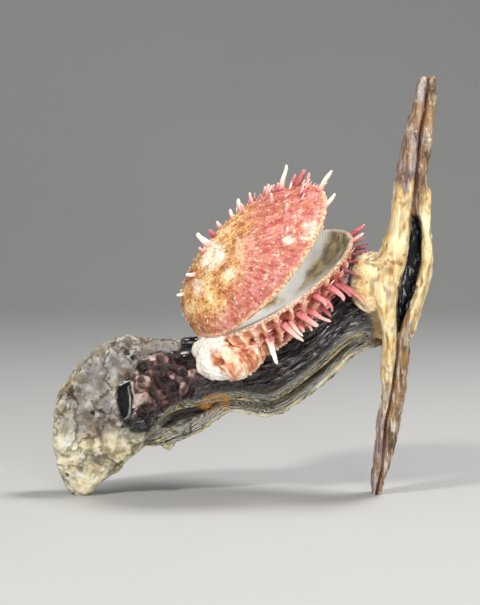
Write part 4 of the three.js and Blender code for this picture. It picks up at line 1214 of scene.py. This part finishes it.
def hammerMaterial(name, barDark, barPale):
    made, tree, shader, place = newMaterial(name)
    read = {key: valueOf(tree, key) for key in ("bar", "crust", "hollow", "shadedHole", "pit", "cream", "foot",
                                                "edge", "layer", "run", "over", "out", "relief", "rimEnd",
                                                "gold", "seam", "web", "frontEdge", "holeEdgeLine", "broken")}
    apart = addNode(tree, "ShaderNodeSeparateXYZ", {0: place}).outputs
    wide, deepness, tall = (times(tree, apart[k], perMetre) for k in range(3))
    onBlade = {"Along": read["run"], "Across": read["over"], "Out": read["out"]}
    upright = {"Along": tall, "Across": wide, "Out": deepness}
    # dark body with silver wrinkles along the blade: the silver is partly the shell's own layers and partly painted
    # highlight, stronger on the crests
    silver = useGroup(tree, "streaks", **onBlade, Stretch=5.0, Size=1.7, Level=0.56, Soft=0.07)
    crest = useGroup(tree, "reliefShading", Relief=read["relief"], Crest=0.1, Hollow=-0.1)
    silverAndSheenShare = times(tree, silver, plus(tree, 0.3, times(tree, crest, 0.7)))
    silverAndSheenShare = times(tree, silverAndSheenShare, plus(tree, 0.15, times(tree, read["broken"], 0.85)))
    dark = blended(tree, patchy(tree, place, 8.0, 0.55, 0.15), (0.004, 0.0035, 0.004), (0.03, 0.015, 0.009))
    colour = blended(tree, silverAndSheenShare, dark, (0.46, 0.46, 0.47))
    # painted highlight: near white glints on the crests of the streaks
    glint = useGroup(tree, "streaks", **onBlade, Stretch=6.0, Size=1.0, Level=0.6, Soft=0.03)
    glint = times(tree, times(tree, glint, crest), read["broken"])
    colour = blended(tree, glint, colour, (0.95, 0.95, 0.93))
    # brown scaly hollow: the brown is its own colour, while the near black in the recesses is painted shade and the
    # pale tan on the knobs painted highlight
    scaly = ramp(tree, ranged(tree, read["relief"], -0.9, 0.75),
                 [(0.0, (0.003, 0.0015, 0.002)), (0.45, (0.02, 0.008, 0.007)), (0.7, (0.11, 0.05, 0.04)),
                  (0.86, (0.3, 0.19, 0.15)), (1.0, (0.62, 0.5, 0.42))])
    mottle = patchy(tree, place, 3.0, 0.48, 0.12, 6.0)
    scaly = tinted(tree, scaly, mottle, 0.55, (0.035, 0.014, 0.012))
    colour = blended(tree, read["hollow"], colour, scaly)
    # grey and lilac crust, cream toward the rim and the foot
    lilac = ramp(tree, patchy(tree, place, 9.0, 0.5, 0.3, 7.0),
                 [(0.0, (0.035, 0.028, 0.026)), (0.32, (0.12, 0.108, 0.108)), (0.6, (0.24, 0.225, 0.23)),
                  (0.8, (0.4, 0.38, 0.38)), (1.0, (0.66, 0.63, 0.59))])
    yellow = ramp(tree, patchy(tree, place, 6.0, 0.5, 0.28, 7.0),
                  [(0.0, (0.26, 0.19, 0.1)), (0.28, (0.58, 0.47, 0.23)), (0.55, (0.84, 0.77, 0.5)),
                   (0.85, (0.95, 0.93, 0.82))])
    yellowShare = larger(tree, read["foot"], read["rimEnd"])
    blot = patchy(tree, place, 10.0, 0.52, 0.12, 6.0)
    yellowShare = larger(tree, yellowShare, times(tree, blot, 0.35))
    greyPatch = patchy(tree, place, 6.0, 0.56, 0.12, 8.0)
    crustColour = blended(tree, yellowShare, lilac, yellow)
    crustColour = tinted(tree, crustColour, greyPatch, 0.45, (0.26, 0.24, 0.245))
    chalky = patchy(tree, place, 4.5, 0.57, 0.1, 9.0)
    crustColour = tinted(tree, crustColour, chalky, 0.25, (0.85, 0.83, 0.75))
    # painted highlight: near white on the crust's crests
    high = useGroup(tree, "reliefShading", Relief=read["relief"], Crest=0.08, Hollow=-0.05)
    crustColour = tinted(tree, crustColour, high, 0.3, (0.8, 0.77, 0.7))
    # painted shade: umber in the crust's hollows
    low = useGroup(tree, "reliefShading", "Hollows", Relief=read["relief"], Crest=0.2, Hollow=-0.15)
    umber = blended(tree, patchy(tree, place, 2.4, 0.5, 0.25, 6.0), (0.05, 0.025, 0.014), (0.3, 0.21, 0.12))
    crustColour = tinted(tree, crustColour, low, 0.6, umber)
    # broad folds: umber along their creases is painted shade, fainter toward the foot; the same folds give the bump
    # below
    folded = patchy(tree, place, 14.0, 0.5, 0.5, 9.0)
    crease = ranged(tree, maths(tree, "ABSOLUTE", minus(tree, folded, 0.5)), 0.025, 0.0)
    faint = minus(tree, 0.6, times(tree, read["foot"], 0.35))
    crustColour = blended(tree, times(tree, crease, faint), crustColour, umber)
    colour = blended(tree, read["crust"], colour, crustColour)
    # layered edge: cream, yellow, black and silver lines beside each other
    wobble = useGroup(tree, "streaks", "Value", **onBlade, Stretch=14.0, Size=2.4)
    level = plus(tree, times(tree, read["layer"], 0.5), times(tree, wobble, 1.7))
    lines = ramp(tree, maths(tree, "FRACT", level), [(0.0, (0.006, 0.005, 0.005)), (0.14, (0.01, 0.009, 0.008)),
                                                     (0.2, (0.5, 0.5, 0.47)), (0.34, (0.2, 0.2, 0.19)),
                                                     (0.42, (0.012, 0.01, 0.01)), (0.52, (0.02, 0.018, 0.016)),
                                                     (0.58, (0.62, 0.62, 0.58)), (0.7, (0.16, 0.15, 0.13)),
                                                     (0.8, (0.02, 0.016, 0.01)), (0.88, (0.6, 0.46, 0.12)),
                                                     (0.94, (0.5, 0.46, 0.33)), (1.0, (0.01, 0.008, 0.006))])
    colour = tinted(tree, colour, read["edge"], 0.9, lines)
    goldLine = ramp(tree, patchy(tree, place, 5.0, 0.5, 0.25, 6.0),
                    [(0.0, (0.3, 0.17, 0.03)), (0.45, (0.68, 0.5, 0.14)), (0.8, (0.86, 0.78, 0.46))])
    colour = tinted(tree, colour, read["frontEdge"], 0.9, goldLine)
    rimLine = times(tree, ranged(tree, read["layer"], 0.8, 0.2), minus(tree, 1.0, read["bar"]))
    broken = patchy(tree, place, 9.0, 0.47, 0.12, 5.0)
    colour = blended(tree, times(tree, rimLine, broken), colour, yellow)
    gold = useGroup(tree, "streaks", **onBlade, Stretch=4.0, Size=1.3, Level=0.52, Soft=0.05)
    colour = blended(tree, times(tree, read["gold"], gold), colour, (0.6, 0.25, 0.02))
    # hinge bar: brown and mauve with long tan streaks, waxy cream in its middle
    fibres = useGroup(tree, "streaks", "Value", **upright, Stretch=9.0, Size=1.7)
    blotch = patchy(tree, place, 9.0, 0.5, 0.3, 7.0)
    barTint = plus(tree, times(tree, ranged(tree, fibres, 0.32, 0.68), 0.6), times(tree, blotch, 0.4))
    barColour = ramp(tree, barTint, [(0.1, (0.05, 0.03, 0.025)), (0.34, barDark), (0.54, barPale),
                                     (0.74, (0.56, 0.49, 0.4)), (0.95, (0.82, 0.78, 0.7))])
    honey = patchy(tree, place, 11.0, 0.55, 0.08, 6.0)
    barColour = tinted(tree, barColour, honey, 0.6, (0.4, 0.2, 0.055))
    salt = patchy(tree, place, 2.8, 0.62, 0.03, 7.0)
    salt = times(tree, salt, ranged(tree, tall, 100.0, 120.0))
    barColour = tinted(tree, barColour, salt, 0.6, (0.82, 0.78, 0.7))
    ash = times(tree, ranged(tree, fibres, 0.53, 0.6), ranged(tree, tall, 50.0, 34.0))
    barColour = tinted(tree, barColour, ash, 0.7, (0.6, 0.58, 0.54))
    creamTint = plus(tree, times(tree, ranged(tree, fibres, 0.3, 0.7), 0.25), times(tree, blotch, 0.75))
    creamColour = ramp(tree, creamTint, [(0.1, (0.46, 0.2, 0.05)), (0.34, (0.76, 0.5, 0.2)),
                                         (0.55, (0.9, 0.74, 0.42)), (0.85, (0.96, 0.9, 0.7))])
    brownSpots = patchy(tree, place, 6.0, 0.63, 0.03, 7.0)
    creamColour = tinted(tree, creamColour, brownSpots, 0.7, (0.2, 0.08, 0.03))
    barColour = blended(tree, read["cream"], barColour, creamColour)
    # painted shade: dark brown in the bar's hollows
    barHollowShade = useGroup(tree, "reliefShading", "Hollows", Relief=read["relief"], Crest=0.2, Hollow=-0.05)
    barColour = tinted(tree, barColour, barHollowShade, 0.6, (0.14, 0.06, 0.025))
    onBar = larger(tree, read["bar"], read["cream"])
    colour = blended(tree, onBar, colour, barColour)
    # painted shade: near black in the pits
    colour = tinted(tree, colour, read["pit"], 0.9, (0.05, 0.018, 0.01))
    # painted shade: near black in the deep hole
    colour = blended(tree, read["shadedHole"], colour, (0.004, 0.003, 0.004))
    # a thin pale line along the right side of the dark hole
    colour = blended(tree, read["holeEdgeLine"], colour, (0.6, 0.58, 0.54))
    # painted shade: a dark red-brown line in the cleft between the bars
    colour = tinted(tree, colour, read["seam"], 0.9, (0.07, 0.012, 0.01))
    # the gap between the bars in painted shade: near black with silver crinkles
    crinkle = useGroup(tree, "streaks", **upright, Stretch=3.0, Size=1.0, Level=0.6, Soft=0.05)
    web = blended(tree, crinkle, (0.006, 0.005, 0.006), (0.45, 0.45, 0.45))
    colour = blended(tree, read["web"], colour, web)
    rough = plus(tree, 0.16, times(tree, larger(tree, read["crust"], read["bar"]), 0.3))
    rough = plus(tree, rough, times(tree, mottle, 0.12))
    rough = minus(tree, rough, times(tree, read["cream"], 0.12))
    rough = plus(tree, rough, times(tree, read["shadedHole"], 0.6), clamp=True)
    surfaced(tree, shader, colour, rough, 0.36)
    fine = useGroup(tree, "streaks", "Value", **onBlade, Stretch=4.0, Size=0.7)
    grain = plus(tree, useGroup(tree, "grain", Vector=place, Size=0.9, Crumbs=0.35),
                 times(tree, patchy(tree, place, 2.6, 0.5, 0.2, 3.0), 0.8))
    relief = mixed(tree, larger(tree, read["crust"], read["bar"]), fine, grain)
    creases = minus(tree, folded, times(tree, crease, 0.2))
    creases = times(tree, creases, times(tree, read["crust"], minus(tree, 1.0, read["bar"])))
    broadly = bumped(tree, shader, creases, 1.0, 4.0)
    bumped(tree, shader, relief, 0.7, 0.7, broadly)
    return made


def addPiece(name, part, material, node):
    piece = meshFrom(name, part, kept=True)
    piece.data.materials.append(material)
    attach(piece, "root")
    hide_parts(node)
    print(name, len(piece.data.polygons), "triangles")


addPiece("spinyUpperShell", makeUpper(), upperMaterial(), "spiny_upper_valve")
addPiece("spinyLowerShell", joined([makeLower(), makeCement()]), lowerMaterial(), "spiny_lower_valve")
flareParts = [ballPart(np.array(at, float), half, np.eye(3)) for at, half in (hammer["flare"], hammer["ridge"])]
frontPart = hammerSurface("frontRough", [barPart(frontBar), bladePart(True)] + flareParts, True)
backPart = hammerSurface("backRough", [barPart(backBar), barPart(barLobe), barPart(barWeb),
                                       barPart(seamRows(-1, 68)), barPart(seamRows(113, 168)), bladePart(False),
                                       ballPart(np.array(hammer["bump"][0]), hammer["bump"][1], np.eye(3))],
                         False)
addPiece("hammerFrontShell", frontPart, hammerMaterial("darkShell", (0.17, 0.115, 0.105), (0.38, 0.31, 0.29)),
         "hammer_front_valve")
addPiece("hammerBackShell", backPart, hammerMaterial("layeredShell", (0.13, 0.075, 0.04), (0.34, 0.24, 0.14)),
         "hammer_back_valve")


def addFloor():
    # a pale sweep: flat under the shells and rising behind them
    half, back, rise = studio["floorHalf"], studio["floorBack"], studio["floorRise"]
    x = np.linspace(-half * 2, half * 2, 2)
    t = np.linspace(0, 1, 40)
    turn = np.clip((t - 0.5) * 2, 0, 1) * math.pi / 2
    y = np.where(t < 0.5, -half + (half + back) * t * 2, back + rise * np.sin(turn))
    z = np.where(t < 0.5, 0, rise * (1 - np.cos(turn)))
    y = np.append(y, y[-1])
    z = np.append(z, z[-1] + studio["wall"])
    points = np.stack([np.repeat(x[None], len(y), 0), np.repeat(y[:, None], 2, 1), np.repeat(z[:, None], 2, 1)], -1)
    k = np.arange(len(y) - 1)
    faces = np.stack([2 * k, 2 * k + 1, 2 * k + 3, 2 * k + 2], -1)
    mesh = bpy.data.meshes.new("floor")
    mesh.from_pydata(points.reshape(-1, 3).tolist(), [], faces.tolist())
    mesh.polygons.foreach_set("use_smooth", np.ones(len(faces), bool))
    piece = placed("floor", mesh)
    made, tree, shader, place = newMaterial("paleFloor")
    cloud = patchy(tree, place, 300.0, 0.5, 0.4)
    colour = blended(tree, cloud, (0.5, 0.495, 0.48), (0.53, 0.525, 0.51))
    tree.links.new(colour, shader.inputs["Base Color"])
    shader.inputs["Roughness"].default_value = 0.6
    mesh.materials.append(made)


def addLight(place, size, watts, colour):
    data = bpy.data.lights.new("softLight", "AREA")
    data.shape = "DISK"
    data.size = size
    data.energy = watts
    data.color = colour
    lamp = placed("softLight", data)
    lamp.location = place
    lamp.rotation_euler = (Vector(studio["lightAim"]) - Vector(place)).to_track_quat("-Z", "Y").to_euler()


def addCamera():
    rise = math.radians(studio["cameraRise"])
    aim = Vector(studio["cameraAim"]) * mm
    away = Vector((0, -math.cos(rise), math.sin(rise)))
    data = bpy.data.cameras.new("view")
    data.sensor_fit = "AUTO"
    data.sensor_width = studio["sensor"]
    data.lens = studio["sensor"] * studio["cameraDistance"] / studio["frameHeight"]
    data.clip_start = 0.01
    data.clip_end = 20
    camera = placed("view", data)
    camera.location = aim + away * studio["cameraDistance"] * mm
    camera.rotation_euler = (-away).to_track_quat("-Z", "Y").to_euler()
    bpy.context.scene.camera = camera


addFloor()
for light in studio["lights"]:
    addLight(*light)
addCamera()
world = bpy.data.worlds.new("studio")
world.use_nodes = True
sky = world.node_tree.nodes["Background"]
sky.inputs[0].default_value = studio["worldColour"]
sky.inputs[1].default_value = studio["worldStrength"]
bpy.context.scene.world = world
bpy.context.scene.view_settings.view_transform = "Standard"
print("studio ready")
